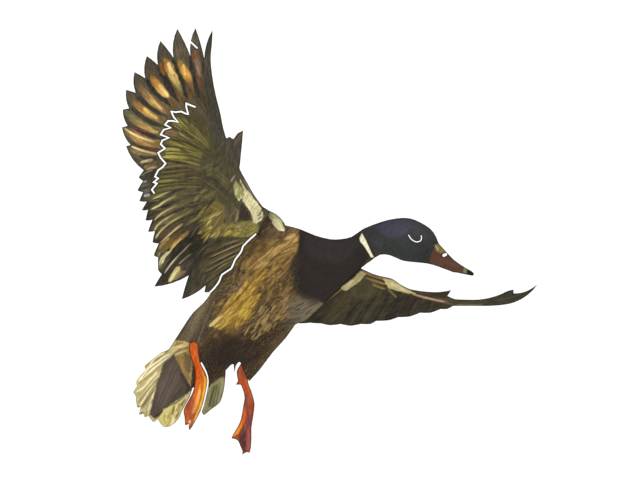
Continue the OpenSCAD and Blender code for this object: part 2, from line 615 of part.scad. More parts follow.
module door_latch() color("#2f3133") aligned() {
    rod_y(mid_s, latch_t, cover_y - 1.6, lid_y + 0.4, 3);
    rod_y(mid_s, latch_t, lid_y + 0.2, lid_y + 1.4, 6);
    block(mid_s - 5.4, mid_s + 5.4, lid_y + 1.2, lid_y + 4, latch_t - 1.2, latch_t + 1.2);
    block(mid_s, mid_s + 10.6, cover_y - 1.8, cover_y - 0.3, latch_t - 2.4, latch_t + 2.4);
}

// ---------- electrics ----------
module control_board() color("#2f6b3d") aligned() difference() {
    block(48, 91, 2, 3.6, -47, -17);
    for (p = [[50.5, -19.5], [88.5, -19.5], [50.5, -44.5]]) rod_y(p.x, p.y, 1, 5, 1.2);
}

module board_parts() color("#26282a") aligned() {
    rod_y(button_at.x, button_at.y, 3.6, 15.8, 6);
    rod_y(58, -38, 3.6, 12, 3.2);
    rod_y(58, -30, 3.6, 10, 2.6);
    block(62, 69, 3.6, 5.4, -44, -34);
    block(51, 57, 3.6, 9, -27, -19);
    block(60, 67, 3.6, 6.4, -27, -19);
    block(80, 89, 3.6, 10, -45.5, -39);
}

module battery_cells() color("#3c3f44") aligned() for (s = cell_spots) {
    rod_t(s, cell_y, cell_t0 + 1, cell_t1 - 1.2, cell_r);
    rod_t(s, cell_y, cell_t1 - 1.3, cell_t1, 2.75);
    rod_t(s, cell_y, cell_t0, cell_t0 + 1.1, 5);
}

module battery_tray() color("#303234") aligned() difference() {
    union() {
        block(cell_spots[0] - 7, cell_spots[3] + 7, box_y0 + wall, cell_y - 2, cell_t0, cell_t1 + 1.2);
        block(27.4, 87.6, box_y0 + wall, 11, cell_t1 + 1.2, cell_t1 + 2.6);
        block(27.4, 87.6, box_y0 + wall, 11, cell_t0 - 2.6, cell_t0 - 1.2);
        block(cell_spots[0] - 7, cell_spots[3] + 7, box_y0 + wall, -4.4, cell_t0 - 1.4, cell_t1 + 1.4);
    }
    for (s = cell_spots) rod_t(s, cell_y, cell_t0 - 0.4, cell_t1 + 1.2, cell_r + 0.15);
}

module battery_contacts() color("#c9c5b4") aligned() for (s = cell_spots) {
    block(s - 4.5, s + 4.5, cell_y - 3.5, cell_y + 4.5, cell_t1 + 0.7, cell_t1 + 1.2);
    difference() {
        translate([s, cell_y, cell_t0 - 1.2]) cylinder(h = 1.15, r1 = 5.4, r2 = 3.4);
        rod_t(s, cell_y, cell_t0 - 2, cell_t0 + 1, 2.2);
    }
}

module motor_leads() color("#a02a24") aligned() for (d = [-4, 4])
    lead([[motor_s + d, 8.9, -46.5], [motor_s + d, 8.9, -50 - d / 4], [54 + d / 2, 8.9, -50 - d / 4],
          [54 + d / 2, 8.9, -42], [54 + d / 2, 4.3, -42]], 1.2);

module battery_leads() color("#26282a") aligned() for (d = [-1, 1])
    lead([[84.5 + d, 11.7, -54], [84.5 + d, 11.7, -42], [84.5 + d, 10.7, -42]], 1);

// ---------- fixings ----------
module nut_y(s, t, y, r, h) difference() {
    hex_y(s, t, y, y + h, r * 1.9);
    rod_y(s, t, y - 1, y + h + 1, r + fixed_gap);
}
module housing_studs() color("#a8a8a6") aligned()
    for (p = stud_spots) rod_y(p.x, p.y, back_y, box_y0 + wall + 3.6, stud_r);
module housing_nuts() color("#b9b9b5") aligned()
    for (p = stud_spots) nut_y(p.x, p.y, box_y0 + wall, stud_r, 2.6);

// ---------- pole bracket ----------
module pole_bracket() color("#3f4144") difference() {
    union() {
        translate([-20, back_y, 15]) cube([40, 3, 28]);
        translate([-7, back_y + 1, 4]) cube([14, 11, 39]);
        cylinder(h = pole_depth + 4, r = pole_r + 2.8);
        translate([0, 0, 22]) rotate([-90, 0, 0]) cylinder(h = 15, r = 7);
    }
    translate([0, 0, -1]) cylinder(h = pole_depth + 1, r = pole_r);
    translate([0, 0, 22]) rotate([-90, 0, 0]) cylinder(h = 16, r = 3 + run_gap);
    for (p = bracket_spots) flat_rod(p, back_y - 1, back_y + 5, stud_r + 0.1);
}
module bracket_studs() color("#a8a8a6") for (p = bracket_spots) flat_rod(p, back_y, back_y + 6.6, stud_r);
module bracket_nuts() color("#b9b9b5") for (p = bracket_spots) difference() {
    translate([p.x, back_y + 3, p.y]) rotate([-90, 0, 0]) cylinder(h = 2.6, r = 3.8, $fn = 6);
    flat_rod(p, back_y + 2, back_y + 8, stud_r + fixed_gap);
}
module thumb_screw() color("#2a2c2e") translate([0, 0, 22]) rotate([-90, 0, 0]) {
    translate([0, 0, pole_r + 0.2]) cylinder(h = 12, r = 3);
    difference() {
        translate([0, 0, 16]) cylinder(h = 9, r = 10);
        for (a = [0:45:315]) rotate([0, 0, a]) translate([11.2, 0, 15]) cylinder(h = 11, r = 2.6);
    }
}

body_panel();
near_wing_panel();
far_wing_panel();
near_leg();
far_leg();
leg_studs();
leg_nuts();
near_body_leaf();
near_wing_leaf();
near_hinge_pin();
near_hinge_rivets();
far_body_leaf();
far_wing_leaf();
far_hinge_pin();
near_wing_horn();
near_horn_bolts();
near_link_pin();
near_pin_clip();
far_wing_horn();
far_horn_bolts();
far_link_pin();
far_pin_clip();
drive_link();
crank_arm();
crank_grub_screw();
crank_link_pin();
crank_pin_clip();
output_shaft();
output_gear();
output_bushes();
compound_gear();
idler_axle();
motor_pinion();
motor_can();
motor_end_cap();
motor_screws();
gear_plate();
drive_housing();
drive_cover();
cover_gasket();
cover_screws();
control_board();
board_parts();
power_button();
battery_cells();
battery_tray();
battery_contacts();
battery_door();
door_hinge_pin();
door_latch();
motor_leads();
battery_leads();
housing_studs();
housing_nuts();
pole_bracket();
bracket_studs();
bracket_nuts();
thumb_screw();
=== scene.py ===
import json
import math

import bpy
import numpy as np
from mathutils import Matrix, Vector
from mathutils.geometry import delaunay_2d_cdt
from mathutils.kdtree import KDTree


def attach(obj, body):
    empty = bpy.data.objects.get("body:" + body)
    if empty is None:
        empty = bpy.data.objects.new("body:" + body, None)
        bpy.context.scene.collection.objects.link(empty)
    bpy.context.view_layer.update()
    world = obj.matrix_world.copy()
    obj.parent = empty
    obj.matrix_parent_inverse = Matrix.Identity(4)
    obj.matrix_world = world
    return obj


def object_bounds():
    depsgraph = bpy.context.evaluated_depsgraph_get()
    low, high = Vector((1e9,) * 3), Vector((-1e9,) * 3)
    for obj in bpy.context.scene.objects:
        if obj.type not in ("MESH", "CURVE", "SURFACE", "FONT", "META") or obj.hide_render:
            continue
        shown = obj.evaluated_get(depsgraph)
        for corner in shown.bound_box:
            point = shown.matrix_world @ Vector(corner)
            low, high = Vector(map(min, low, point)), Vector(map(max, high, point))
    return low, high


# A flying duck decoy: printed sheets on a pole mount, with a motor drive behind the breast.
# Lengths on the sheets are in millimetres across (x) and up (z) from the pole socket's mouth.

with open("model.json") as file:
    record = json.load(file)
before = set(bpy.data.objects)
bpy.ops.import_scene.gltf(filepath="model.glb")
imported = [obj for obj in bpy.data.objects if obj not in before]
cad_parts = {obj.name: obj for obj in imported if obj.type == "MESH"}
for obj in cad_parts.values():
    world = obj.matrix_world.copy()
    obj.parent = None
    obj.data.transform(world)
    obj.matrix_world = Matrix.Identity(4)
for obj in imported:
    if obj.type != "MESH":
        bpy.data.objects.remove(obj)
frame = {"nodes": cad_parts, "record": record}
NODES = frame["nodes"]
CAD_LOW, CAD_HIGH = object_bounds()

# one millimetre in metres
MM = 0.001
# spacing of the points of the skins on the printed faces and on the back faces
STEP = 1.0
BACK_STEP = 2.0
# thickness of a skin, how far it sinks into its sheet, and the width of its rolled edge
SKIN_BASE = 0.22
SKIN_SEAT = 0.05
EDGE_ROLL = 1.6
# width of a feather's dark rim
RIM_WIDTH = 1.7
# brush widths that are written as a multiple of this are in brush units
WIDE = 1.6
# colour of the sheets' cut edges, and the print's darkening
CUT_EDGE = "1b1915"
INK_GAIN = 0.97
INK_DEPTH = 0.008
# how much of the feathers' height the back prints have
BACK_RELIEF = 0.6


# ---------------------------------------------------------------- colours


def rgb(code):
    """Linear red, green and blue of a hex colour."""
    parts = np.array([int(code[i:i + 2], 16) / 255 for i in (0, 2, 4)])
    return np.where(parts <= 0.04045, parts / 12.92, ((parts + 0.055) / 1.055) ** 2.4)


def rgba(code):
    """The same colour as the four numbers that a shader socket takes."""
    return tuple(rgb(code)) + (1.0,)


# ---------------------------------------------------------------- curves and noise


def spline(points, steps=6):
    """A smooth line through the points, as an array."""
    p = np.array(points, float)
    if len(p) == 2:
        share = np.linspace(0, 1, 4)[:, None]
        return p[0] + (p[1] - p[0]) * share
    first = 2 * p[0] - p[1]
    last = 2 * p[-1] - p[-2]
    q = np.vstack([first, p, last])
    t = np.linspace(0, 1, steps, endpoint=False)[:, None]
    out = []
    for a, b, c, d in zip(q[:-3], q[1:-2], q[2:-1], q[3:]):
        cubic = 2 * b + (c - a) * t + (2 * a - 5 * b + 4 * c - d) * t * t + (3 * b - a - 3 * c + d) * t ** 3
        out.append(cubic / 2)
    out.append(p[-1:])
    return np.vstack(out)


def soft_step(x):
    """0 below 0, 1 above 1, smooth between."""
    x = np.clip(x, 0, 1)
    return x * x * (3 - 2 * x)


def noise(points, size, angle=0.0, stretch=1.0, seed=0):
    """Smooth random values from 0 to 1. Size is one blotch; stretch makes it longer along the angle."""
    a = math.radians(angle)
    u = (points[:, 0] * math.cos(a) + points[:, 1] * math.sin(a)) / (size * stretch)
    v = (points[:, 1] * math.cos(a) - points[:, 0] * math.sin(a)) / size
    iu, iv = np.floor(u), np.floor(v)
    fu, fv = soft_step(u - iu), soft_step(v - iv)

    def lattice(i, j):
        h = np.sin(i * 127.1 + j * 311.7 + seed * 74.7) * 43758.5453
        return h - np.floor(h)

    low = lattice(iu, iv) * (1 - fu) + lattice(iu + 1, iv) * fu
    high = lattice(iu, iv + 1) * (1 - fu) + lattice(iu + 1, iv + 1) * fu
    return low * (1 - fv) + high * fv


# ---------------------------------------------------------------- the printed picture


class Print:
    """The picture on one face: a colour, a height and feather coordinates at each point."""

    def __init__(self, points, ground, angle):
        self.points = points
        self.colour = np.tile(rgb(ground), (len(points), 1))
        self.lift = np.zeros(len(points))
        a = math.radians(angle)
        self.vane = np.zeros((len(points), 3))
        self.vane[:, 0] = points[:, 0] * math.cos(a) + points[:, 1] * math.sin(a)
        self.vane[:, 1] = points[:, 1] * math.cos(a) - points[:, 0] * math.sin(a)
        self.grain = np.zeros(len(points))
        self.rim = np.full(len(points), 0.88)
        self.ragged = noise(points, 2.4, angle, 2.0, 17) + noise(points, 5.0, angle + 20, 1.5, 18) - 1
        self.marks = 0

    def follow(self, line, reach):
        """Points near a line: their numbers, share of its length, distance to its left, and its length."""
        low, high = line.min(0) - reach, line.max(0) + reach
        found = np.nonzero(np.all((self.points > low) & (self.points < high), axis=1))[0]
        p = self.points[found][:, None, :]
        a, d = line[:-1], np.diff(line, axis=0)
        length = np.maximum(np.hypot(d[:, 0], d[:, 1]), 1e-6)
        before = np.concatenate([[0], np.cumsum(length)[:-1]])
        t = np.clip(((p - a) * d).sum(2) / length ** 2, 0, 1)
        gap = p - (a + d * t[..., None])
        far = np.hypot(gap[..., 0], gap[..., 1])
        best = far.argmin(1)
        row = np.arange(len(found))
        side = np.sign(d[best, 0] * gap[row, best, 1] - d[best, 1] * gap[row, best, 0])
        along = (before[best] + t[row, best] * length[best]) / length.sum()
        return found, along, far[row, best] * side, length.sum()

    def claim(self, found, share, run, off):
        """Turns the streak coordinates of those points to follow a mark."""
        self.marks += 1
        mine = share > 0.35
        row = np.column_stack([run, off, np.full(len(off), self.marks * 0.73 % 40)])
        self.vane[found[mine]] = row[mine]

    def blend(self, found, colour, share):
        """Mixes a colour into the print at those points."""
        self.colour[found] += (colour - self.colour[found]) * share[:, None]

    def stroke(self, points, width, colours, soft=1.6, strength=1.0, lift=0.0, fade=0.16):
        """A brush mark through the points, thinner at its ends. Width and colours may vary along it."""
        line = spline(points)
        widths = np.atleast_1d(np.array(width, float)) / 2
        found, along, off, length = self.follow(line, widths.max() + soft + 1)
        if not len(found):
            return
        half = np.interp(along, np.linspace(0, 1, len(widths)), widths)
        ends = np.clip(np.minimum(along, 1 - along) / fade, 0, 1) ** 0.6
        half = half * ends + self.ragged[found] * min(0.9, widths.max() * 0.3)
        share = soft_step((half - np.abs(off)) / soft + 0.5) * strength * soft_step(ends * 1.6)
        self.blend(found, ramp(along, colours), share)
        self.claim(found, share, along * length, off)
        self.lift[found] += lift * share * (1 - np.clip(np.abs(off) / (half + 1e-6), 0, 1) ** 2 * 0.6)

    def feather(self, points, width, colours, rim=None, shaft=None, lift=0.3, blunt=3.0, soft=1.0,
                side=0.0):
        """One vane from base to tip: a domed surface with an optional rim and shaft."""
        line = spline(points)
        found, along, off, length = self.follow(line, width + soft)
        if not len(found):
            return
        half = width / 2 * np.minimum(1, 0.55 + along * 1.5) * np.sqrt(np.clip(1 - along ** blunt, 0, 1))
        share = soft_step((half - np.abs(off)) / soft + 0.5)
        tone = ramp(along, colours)
        across = np.clip(off / (half + 1e-6), -1, 1)
        tone = tone * (1 + side * across)[:, None]
        if rim is not None:
            edge = soft_step((np.abs(off) - half + RIM_WIDTH) / RIM_WIDTH)
            tone = tone + (rgb(rim) - tone) * (edge * 0.8)[:, None]
        if shaft is not None:
            mark = soft_step(1.3 - np.abs(off)) * soft_step((0.97 - along) * 8)
            tone = tone + (rgb(shaft) - tone) * (mark * 0.7)[:, None]
        self.blend(found, tone, share)
        dome = lift * (1 - across ** 2 * 0.75)
        self.lift[found] += (dome - self.lift[found]) * share
        self.claim(found, share, along * length, off)

    def patch(self, points, colour, soft=3.0, strength=1.0, smooth=True, torn=1.6):
        """A filled area with soft, slightly torn edges. Its outline is a closed line through the points."""
        ring = list(points) + [points[0]]
        line = spline(ring, 4) if smooth else np.array(ring, float)
        found, _, off, _ = self.follow(line, soft + torn + 1)
        inside = within(self.points[found], line)
        depth = np.where(inside, 1, -1) * np.abs(off) + self.ragged[found] * torn
        share = soft_step(depth / soft + 0.5) * strength
        if callable(colour):
            tone = colour(self.points[found])
        else:
            tone = rgb(colour)
        self.blend(found, tone, share)

    def fan(self, roots, tips, count, colours, width, seed, bend=0.0, soft=1.4, strength=0.9, lift=0.12):
        """Many narrow strokes from one line to another, with the colours taken in a shuffled order."""
        random = np.random.RandomState(seed)
        choices = colours.split()
        start, end = spline(roots, 8), spline(tips, 8)
        for k in range(count):
            share = (k + 0.5 + random.uniform(-0.3, 0.3)) / count
            a = point_on(start, share)
            b = point_on(end, share)
            chord = b - a
            normal = np.array([-chord[1], chord[0]])
            middle = (a + b) / 2 + normal * (bend + random.uniform(-0.01, 0.01))
            tone = choices[random.randint(len(choices))]
            size = width * random.uniform(0.7, 1.3)
            self.stroke([a, middle, b], [size * 0.5, size, size * 0.6], tone, soft, strength, lift)

    def cluster(self, ring, heading, size, count, colours, seed, rim=None, lift=0.15):
        """Small overlapping feathers inside a closed line, laid like tiles along a heading in degrees."""
        random = np.random.RandomState(seed)
        choices = colours.split()
        line = spline(list(ring) + [ring[0]], 4)
        roots = random.uniform(line.min(0), line.max(0), (count * 3, 2))
        roots = roots[within(roots, line)][:count]
        a = math.radians(heading)
        for root in roots[np.argsort(roots @ [-math.cos(a), -math.sin(a)])]:
            turn = a + math.radians(random.uniform(-16, 16))
            reach = size[0] * random.uniform(0.8, 1.25)
            tip = root + reach * np.array([math.cos(turn), math.sin(turn)])
            tone = choices[random.randint(len(choices))]
            self.feather([root, tip], size[1] * random.uniform(0.8, 1.2), tone, rim, None, lift, 2.5, 1.6)

    def speckle(self, share, dark, light, size, angle, amount, seed=0, stretch=2.5):
        """Fine broken barring, darker and lighter than what is there, where share is above 0."""
        fine = noise(self.points, size, angle, stretch, seed)
        coarse = noise(self.points, size * 2.3, angle + 25, stretch, seed + 5)
        value = (fine * 0.65 + coarse * 0.35 - 0.5) * 2
        up = np.clip(value, 0, 1) * share * amount
        down = np.clip(-value, 0, 1) * share * amount
        self.colour += (rgb(light) - self.colour) * up[:, None]
        self.colour += (rgb(dark) - self.colour) * down[:, None]
        self.lift += value * share * 0.05


def ramp(along, colours):
    """Colours at each place along a mark, from hex codes spread evenly along it."""
    stops = np.array([rgb(code) for code in colours.split()])
    places = np.linspace(0, 1, len(stops))
    return np.stack([np.interp(along, places, stops[:, i]) for i in range(3)], axis=1)


def point_on(line, share):
    """The point at that share of a line's length."""
    step = np.hypot(*np.diff(line, axis=0).T)
    place = np.concatenate([[0], np.cumsum(step)])
    at = share * place[-1]
    return np.array([np.interp(at, place, line[:, 0]), np.interp(at, place, line[:, 1])])


def within(points, ring):
    """True for each point inside a closed ring."""
    inside = np.zeros(len(points), bool)
    x, z = points[:, 0], points[:, 1]
    for (ax, az), (bx, bz) in zip(ring[:-1], ring[1:]):
        if az == bz:
            continue
        crossing = (az > z) != (bz > z)
        inside ^= crossing & (x < (bx - ax) * (z - az) / (bz - az) + ax)
    return inside


# ---------------------------------------------------------------- printed skins


def face_rings(node, front):
    """Closed rings of millimetre points round the flat face of a sheet, and that face's place in y."""
    mesh = NODES[node].data
    co = np.zeros(len(mesh.vertices) * 3)
    mesh.vertices.foreach_get("co", co)
    co = co.reshape(-1, 3) / MM
    level = co[:, 1].min() if front else co[:, 1].max()
    on_face = np.abs(co[:, 1] - level) < 0.01
    keys = {}
    number = np.zeros(len(co), int)
    for i, (x, z) in enumerate(np.round(co[:, [0, 2]], 3)):
        number[i] = keys.setdefault((x, z), len(keys))
    places = np.array(list(keys))
    edges = set()
    for poly in mesh.polygons:
        corners = list(poly.vertices)
        if on_face[corners].all():
            ring = number[corners]
            edges.update(zip(ring, np.roll(ring, -1)))
    follow = {a: b for a, b in edges if (b, a) not in edges and a != b}
    rings = []
    while follow:
        start, here = next(iter(follow.items()))
        ring = [start]
        del follow[start]
        while here != start and here in follow:
            ring.append(here)
            here = follow.pop(here)
        rings.append(places[ring])
    return rings, level


def divided(ring, step):
    """The ring with its long edges cut into shorter ones."""
    out = []
    for a, b in zip(ring, np.roll(ring, -1, axis=0)):
        count = max(1, int(math.ceil(np.hypot(*(b - a)) / step)))
        out.extend(a + (b - a) * k / count for k in range(count))
    return np.array(out)


def inside_rings(points, rings):
    """True for points on the sheet: inside the outline and outside its holes."""
    inside = np.zeros(len(points), bool)
    for ring in rings:
        inside ^= within(points, np.vstack([ring, ring[:1]]))
    return inside


def rim_distance(points, rim):
    """Distance from each point to the nearest point of the cut edges."""
    tree = KDTree(len(rim))
    for i, (x, z) in enumerate(rim):
        tree.insert((x, z, 0), i)
    tree.balance()
    return np.array([tree.find((x, z, 0))[2] for x, z in points])


def flat_mesh(points, rings_count):
    """Triangles that fill the rings whose points come first in the list."""
    edges, start = [], 0
    for count in rings_count:
        edges += [(start + k, start + (k + 1) % count) for k in range(count)]
        start += count
    made = delaunay_2d_cdt([Vector(p) for p in points], edges, [], 1, 1e-5)
    places = np.array([tuple(v) for v in made[0]])
    faces = np.array(made[2])
    rings = np.split(np.array(points)[:start], np.cumsum(rings_count)[:-1])
    kept = inside_rings(places[faces].mean(1), rings)
    return places, [tuple(int(i) for i in f) for f in faces[kept]]


def skin(node, body, front, paint, ground, angle, step, slot, material, seat_lift=1.0):
    """A closed thin printed skin over one face of a sheet, raised where the feathers are."""
    rings, level = face_rings(node, front)
    rings = [divided(r, step * 1.3) for r in rings if len(r) > 2]
    rim = np.vstack(rings)
    low, high = rim.min(0), rim.max(0)
    rows = np.arange(low[1], high[1], step * 0.866)
    cells = []
    for k, z in enumerate(rows):
        xs = np.arange(low[0] + (k % 2) * step / 2, high[0], step)
        cells.append(np.column_stack([xs, np.full(len(xs), z)]))
    cells = np.vstack(cells)
    cells = cells[inside_rings(cells, rings)]
    cells = cells[rim_distance(cells, rim) > step * 0.55]
    points, faces = flat_mesh(np.vstack([rim, cells]), [len(r) for r in rings])
    flat, flat_faces = flat_mesh(rim, [len(r) for r in rings])

    depth = rim_distance(points, rim)
    picture = Print(points, ground, angle)
    paint(picture)
    edge = 1 - soft_step((depth - 0.5) / RIM_WIDTH)
    picture.blend(np.arange(len(points)), rgb(CUT_EDGE), edge * picture.rim)
    rise = SKIN_BASE + np.clip(picture.lift, 0, 0.75) * soft_step(depth / EDGE_ROLL) * seat_lift
    rise -= 0.1 * (1 - soft_step(depth / step))

    out = -1 if front else 1
    top = np.column_stack([points[:, 0], level + out * rise, points[:, 1]])
    base = np.column_stack([flat[:, 0], np.full(len(flat), level - out * SKIN_SEAT), flat[:, 1]])
    count = len(points)
    polys = [f if front else f[::-1] for f in faces]
    polys += [tuple(count + i for i in (f[::-1] if front else f)) for f in flat_faces]
    match = {(round(x, 3), round(z, 3)): count + i for i, (x, z) in enumerate(flat)}
    for a, b in open_edges(faces):
        c = match.get((round(points[a][0], 3), round(points[a][1], 3)))
        d = match.get((round(points[b][0], 3), round(points[b][1], 3)))
        if c is None or d is None:
            continue
        polys.append((b, a, c, d) if front else (a, b, d, c))
    mesh = bpy.data.meshes.new(slot + "_" + node)
    mesh.from_pydata((np.vstack([top, base]) * MM).tolist(), [], polys)
    picture.colour = picture.colour * INK_GAIN - INK_DEPTH
    tint = np.vstack([picture.colour, np.tile(rgb(CUT_EDGE), (len(flat), 1))])
    vane = np.vstack([picture.vane, np.zeros((len(flat), 3))])
    store_print(mesh, tint, vane, np.concatenate([picture.grain, np.zeros(len(flat))]))
    mesh.polygons.foreach_set("use_smooth", [len(p) == 3 and max(p) < count for p in polys])
    mesh.update()
    name = node.replace("_panel", "") + ("_print_front" if front else "_print_back")
    obj = bpy.data.objects.new(name, mesh)
    bpy.context.scene.collection.objects.link(obj)
    mesh.materials.append(material)
    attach(obj, body)
    return obj


def open_edges(faces):
    """Edges that only one face uses, in that face's direction."""
    edges = set()
    for f in faces:
        edges.update(zip(f, f[1:] + f[:1]))
    return [(a, b) for a, b in edges if (b, a) not in edges]


def store_print(mesh, tint, vane, grain):
    """Stores the print's colours, streak coordinates and speckle strength on the mesh's points."""
    data = np.ones((len(tint), 4), np.float32)
    data[:, :3] = np.clip(tint, 0, 1)
    layer = mesh.color_attributes.new("tint", "FLOAT_COLOR", "POINT")
    layer.data.foreach_set("color", data.ravel())
    lines = mesh.attributes.new("vane", "FLOAT_VECTOR", "POINT")
    lines.data.foreach_set("vector", vane.astype(np.float32).ravel())
    dots = mesh.attributes.new("grain", "FLOAT", "POINT")
    dots.data.foreach_set("value", grain.astype(np.float32))


# ---------------------------------------------------------------- what each sheet shows

OLIVE = "625c34 756c3c 4e4a30 3e3a2a 7f7542 554e30 5c4f38"
DARK_OLIVE = "433f2c 363328 4f4934 3e3a2b 5f5838 4a3f30"
SMOKE = "35322b 2a2825 3e3a33 332f2b 46413a"
CREAM = "d8cc94 cbb982 eadfb2 a8996a c9bb8a 8c7c50"


def paint_near_wing(art):
    """The big raised wing: ten long primaries, coverts, secondaries, tertials and the underwing patches."""
    art.speckle(1.0, "37332b", "5c5644", 5, 65, 0.5, 1)
    paint_primaries(art)
    paint_secondaries(art)
    paint_coverts(art)
    paint_leading_edge(art)
    paint_underwing(art)
    paint_tertials(art)
    art.speckle(1.0, "26241f", "8a8058", 2.2, 60, 0.16, 3, 3)
    tones = [
        ((-125, 189), 34, 0.74), ((-67, 154), 34, 0.78), ((-77, 403), 36, 0.78), ((-38, 205), 22, 0.88),
        ((-130, 502), 26, 1.4), ((-154, 458), 14, 0.85), ((-166, 429), 14, 0.85),
    ]
    for centre, reach, gain in tones:
        shade(art, centre, reach, gain)
    art.grain += 0.22


def paint_primaries(art):
    """Each primary is a dark blade with a lit band; dark gaps run between the bands."""
    blades = [
        ([(-61, 330), (-74, 394), (-86, 454), (-86, 496), (-80, 522)], 9,
         "403d35 413e36 403c34 47433a 3d3a33"),
        ([(-72, 346), (-88, 410), (-102, 461), (-107, 498), (-106, 525)], 12,
         "484337 4b4438 634a36 4c463b 46433a"),
        ([(-78, 346), (-101, 403), (-122, 454), (-131, 490), (-134, 523)], 14,
         "4a4538 4c463a 5b4a35 4f4636 47423a"),
        ([(-90, 342), (-115, 400), (-141, 448), (-157, 477), (-163, 504)], 15,
         "4a4538 4f4839 6a5030 4d453a 48423a"),
        ([(-99, 342), (-131, 394), (-158, 432), (-178, 459), (-184, 480)], 15,
         "4a4538 4f4838 6c5636 54493b 4b443a"),
        ([(-107, 336), (-147, 384), (-178, 414), (-198, 440), (-205, 454)], 15,
         "4a4538 554d3a 6f5a3c 5c5040 54493d"),
        ([(-115, 330), (-155, 370), (-187, 394), (-210, 414), (-216, 426)], 14,
         "4a4538 55502f 6c5b3c 5e5240 564c3e"),
        ([(-118, 326), (-158, 355), (-189, 373), (-211, 387), (-222, 394)], 14,
         "4a4538 5a5438 6c6040 6a6148 5e5644"),
        ([(-122, 323), (-158, 336), (-189, 344), (-211, 357), (-224, 365)], 14,
         "4a4538 6c5c3c 86683e 7a6442 5c5040"),
        ([(-123, 317), (-158, 317), (-182, 318), (-202, 326), (-216, 336)], 13,
         "4a4538 4c4838 57503c 6a5f46 54493a"),
    ]
    for line, width, tones in blades:
        art.feather(line, width * WIDE, tones, rim="2e2c27", lift=0.5, blunt=5, soft=1.6)
    gaps = [
        ([(-117, 483), (-112, 461), (-106, 429), (-94, 390)], 5, "2d2c28"),
        ([(-94, 477), (-93, 458), (-88, 429), (-80, 394)], 4, "34322c"),
        ([(-144, 477), (-136, 458), (-128, 432), (-117, 406)], 7, "2b2b28"),
        ([(-166, 467), (-158, 448), (-146, 426), (-131, 403)], 7, "2c2d2b"),
        ([(-186, 445), (-173, 427), (-157, 411), (-144, 398)], 7, "292d2b"),
        ([(-203, 416), (-184, 402), (-165, 390), (-150, 382)], 6, "33342f"),
        ([(-210, 397), (-190, 382), (-170, 371), (-154, 366)], 6, "2f322e"),
        ([(-205, 366), (-187, 358), (-171, 350), (-158, 347)], 6, "352d2e"),
        ([(-205, 336), (-186, 333), (-171, 331), (-160, 331)], 3.4, "4c3330"),
        ([(-198, 320), (-186, 318), (-173, 317), (-160, 314)], 7, "34352f"),
    ]
    for line, width, tone in gaps:
        art.stroke(line, [width * 0.9, width * 1.6, width * 1.5, width * 0.4], tone, 2.4, 0.92, -0.18)
    bands = [
        ([(-106, 490), (-106, 478), (-102, 464), (-98, 445)], [5, 7, 5, 1],
         "6b5038 70543c 86705a 62533f"),
        ([(-134, 478), (-130, 467), (-123, 454), (-115, 440), (-107, 419)], [5, 8, 9, 4, 1],
         "5f5234 98783c cb9a48 80604a 52493a"),
        ([(-158, 477), (-150, 466), (-144, 451), (-136, 437), (-125, 414)], [6, 10, 8, 6, 1.5],
         "8c6430 b8843e d8b468 8a7f54 5a5238"),
        ([(-179, 450), (-171, 438), (-162, 427), (-154, 418), (-146, 411)], [5, 8, 9, 7, 2],
         "6c5032 a87838 cf9f50 d8b068 8c7044"),
        ([(-197, 434), (-186, 419), (-173, 405), (-160, 394), (-149, 384)], [5, 8, 8, 5, 2],
         "66543e 8c7046 b08c52 9c7c50 5c503c"),
        ([(-208, 411), (-195, 398), (-181, 387), (-168, 378), (-157, 370)], [5, 7, 8, 5, 2],
         "6c5036 a0743e c09450 94794a 5a5038"),
        ([(-216, 387), (-202, 376), (-186, 366), (-171, 358), (-162, 355)], [7, 8, 7, 5, 2],
         "6f6750 7c7048 a68650 b89658 7a6c46"),
        ([(-214, 360), (-200, 349), (-184, 341), (-166, 334)], [6, 9, 7, 4],
         "7a6442 a88350 a08052 7c6a44"),
        ([(-211, 331), (-198, 326), (-184, 323), (-166, 322)], [4, 6, 4, 2],
         "7c6a4a 80704c 75664a 8a7850"),
    ]
    for line, width, tones in bands:
        art.stroke(line, [w * 1.45 for w in width], tones, 3.0, 0.95, 0.12)
    glints = [
        ([(-126, 467), (-125, 458), (-122, 448)], 3, "f0bd5c"),
        ([(-150, 470), (-146, 459), (-142, 450)], 4, "f8dc92"),
        ([(-146, 445), (-142, 442)], 2.4, "b8a878"),
        ([(-173, 442), (-166, 434)], 3, "d89440"),
        ([(-165, 435), (-157, 424), (-149, 414)], 3, "f6d286"),
        ([(-179, 413), (-168, 402), (-158, 394)], 2.4, "d2ac66"),
        ([(-190, 397), (-178, 387), (-166, 379)], 2.8, "dab060"),
        ([(-184, 366), (-173, 360), (-165, 358)], 2.2, "c4a468"),
        ([(-221, 365), (-211, 358), (-200, 352), (-186, 347), (-170, 342)], 2.0,
         "e6cf90 f4dc98 e8cc8c c8a86c"),
        ([(-210, 336), (-195, 330), (-181, 326), (-165, 323)], 1.8, "e0cc98 f0dc9c dcb878 c8a070"),
        ([(-210, 366), (-195, 362), (-179, 357)], 1.5, "704038"),
        ([(-162, 470), (-160, 458), (-154, 448)], 3.2, "855628"),
        ([(-110, 485), (-109, 474)], 3.2, "6e4430"),
        ([(-106, 470), (-102, 458), (-99, 446)], 2.0, "93705c"),
    ]
    for line, width, tones in glints:
        art.stroke(line, width * WIDE, tones, 2.0, 0.9, 0.08)
    art.fan([(-154, 384), (-139, 403), (-118, 416), (-94, 422)],
            [(-106, 358), (-96, 368), (-83, 374), (-70, 374)], 16, "5a5340 4f4a3a 453f36 625a48 524a3a",
            4.2, 12, 0.0, 2.4, 0.55)


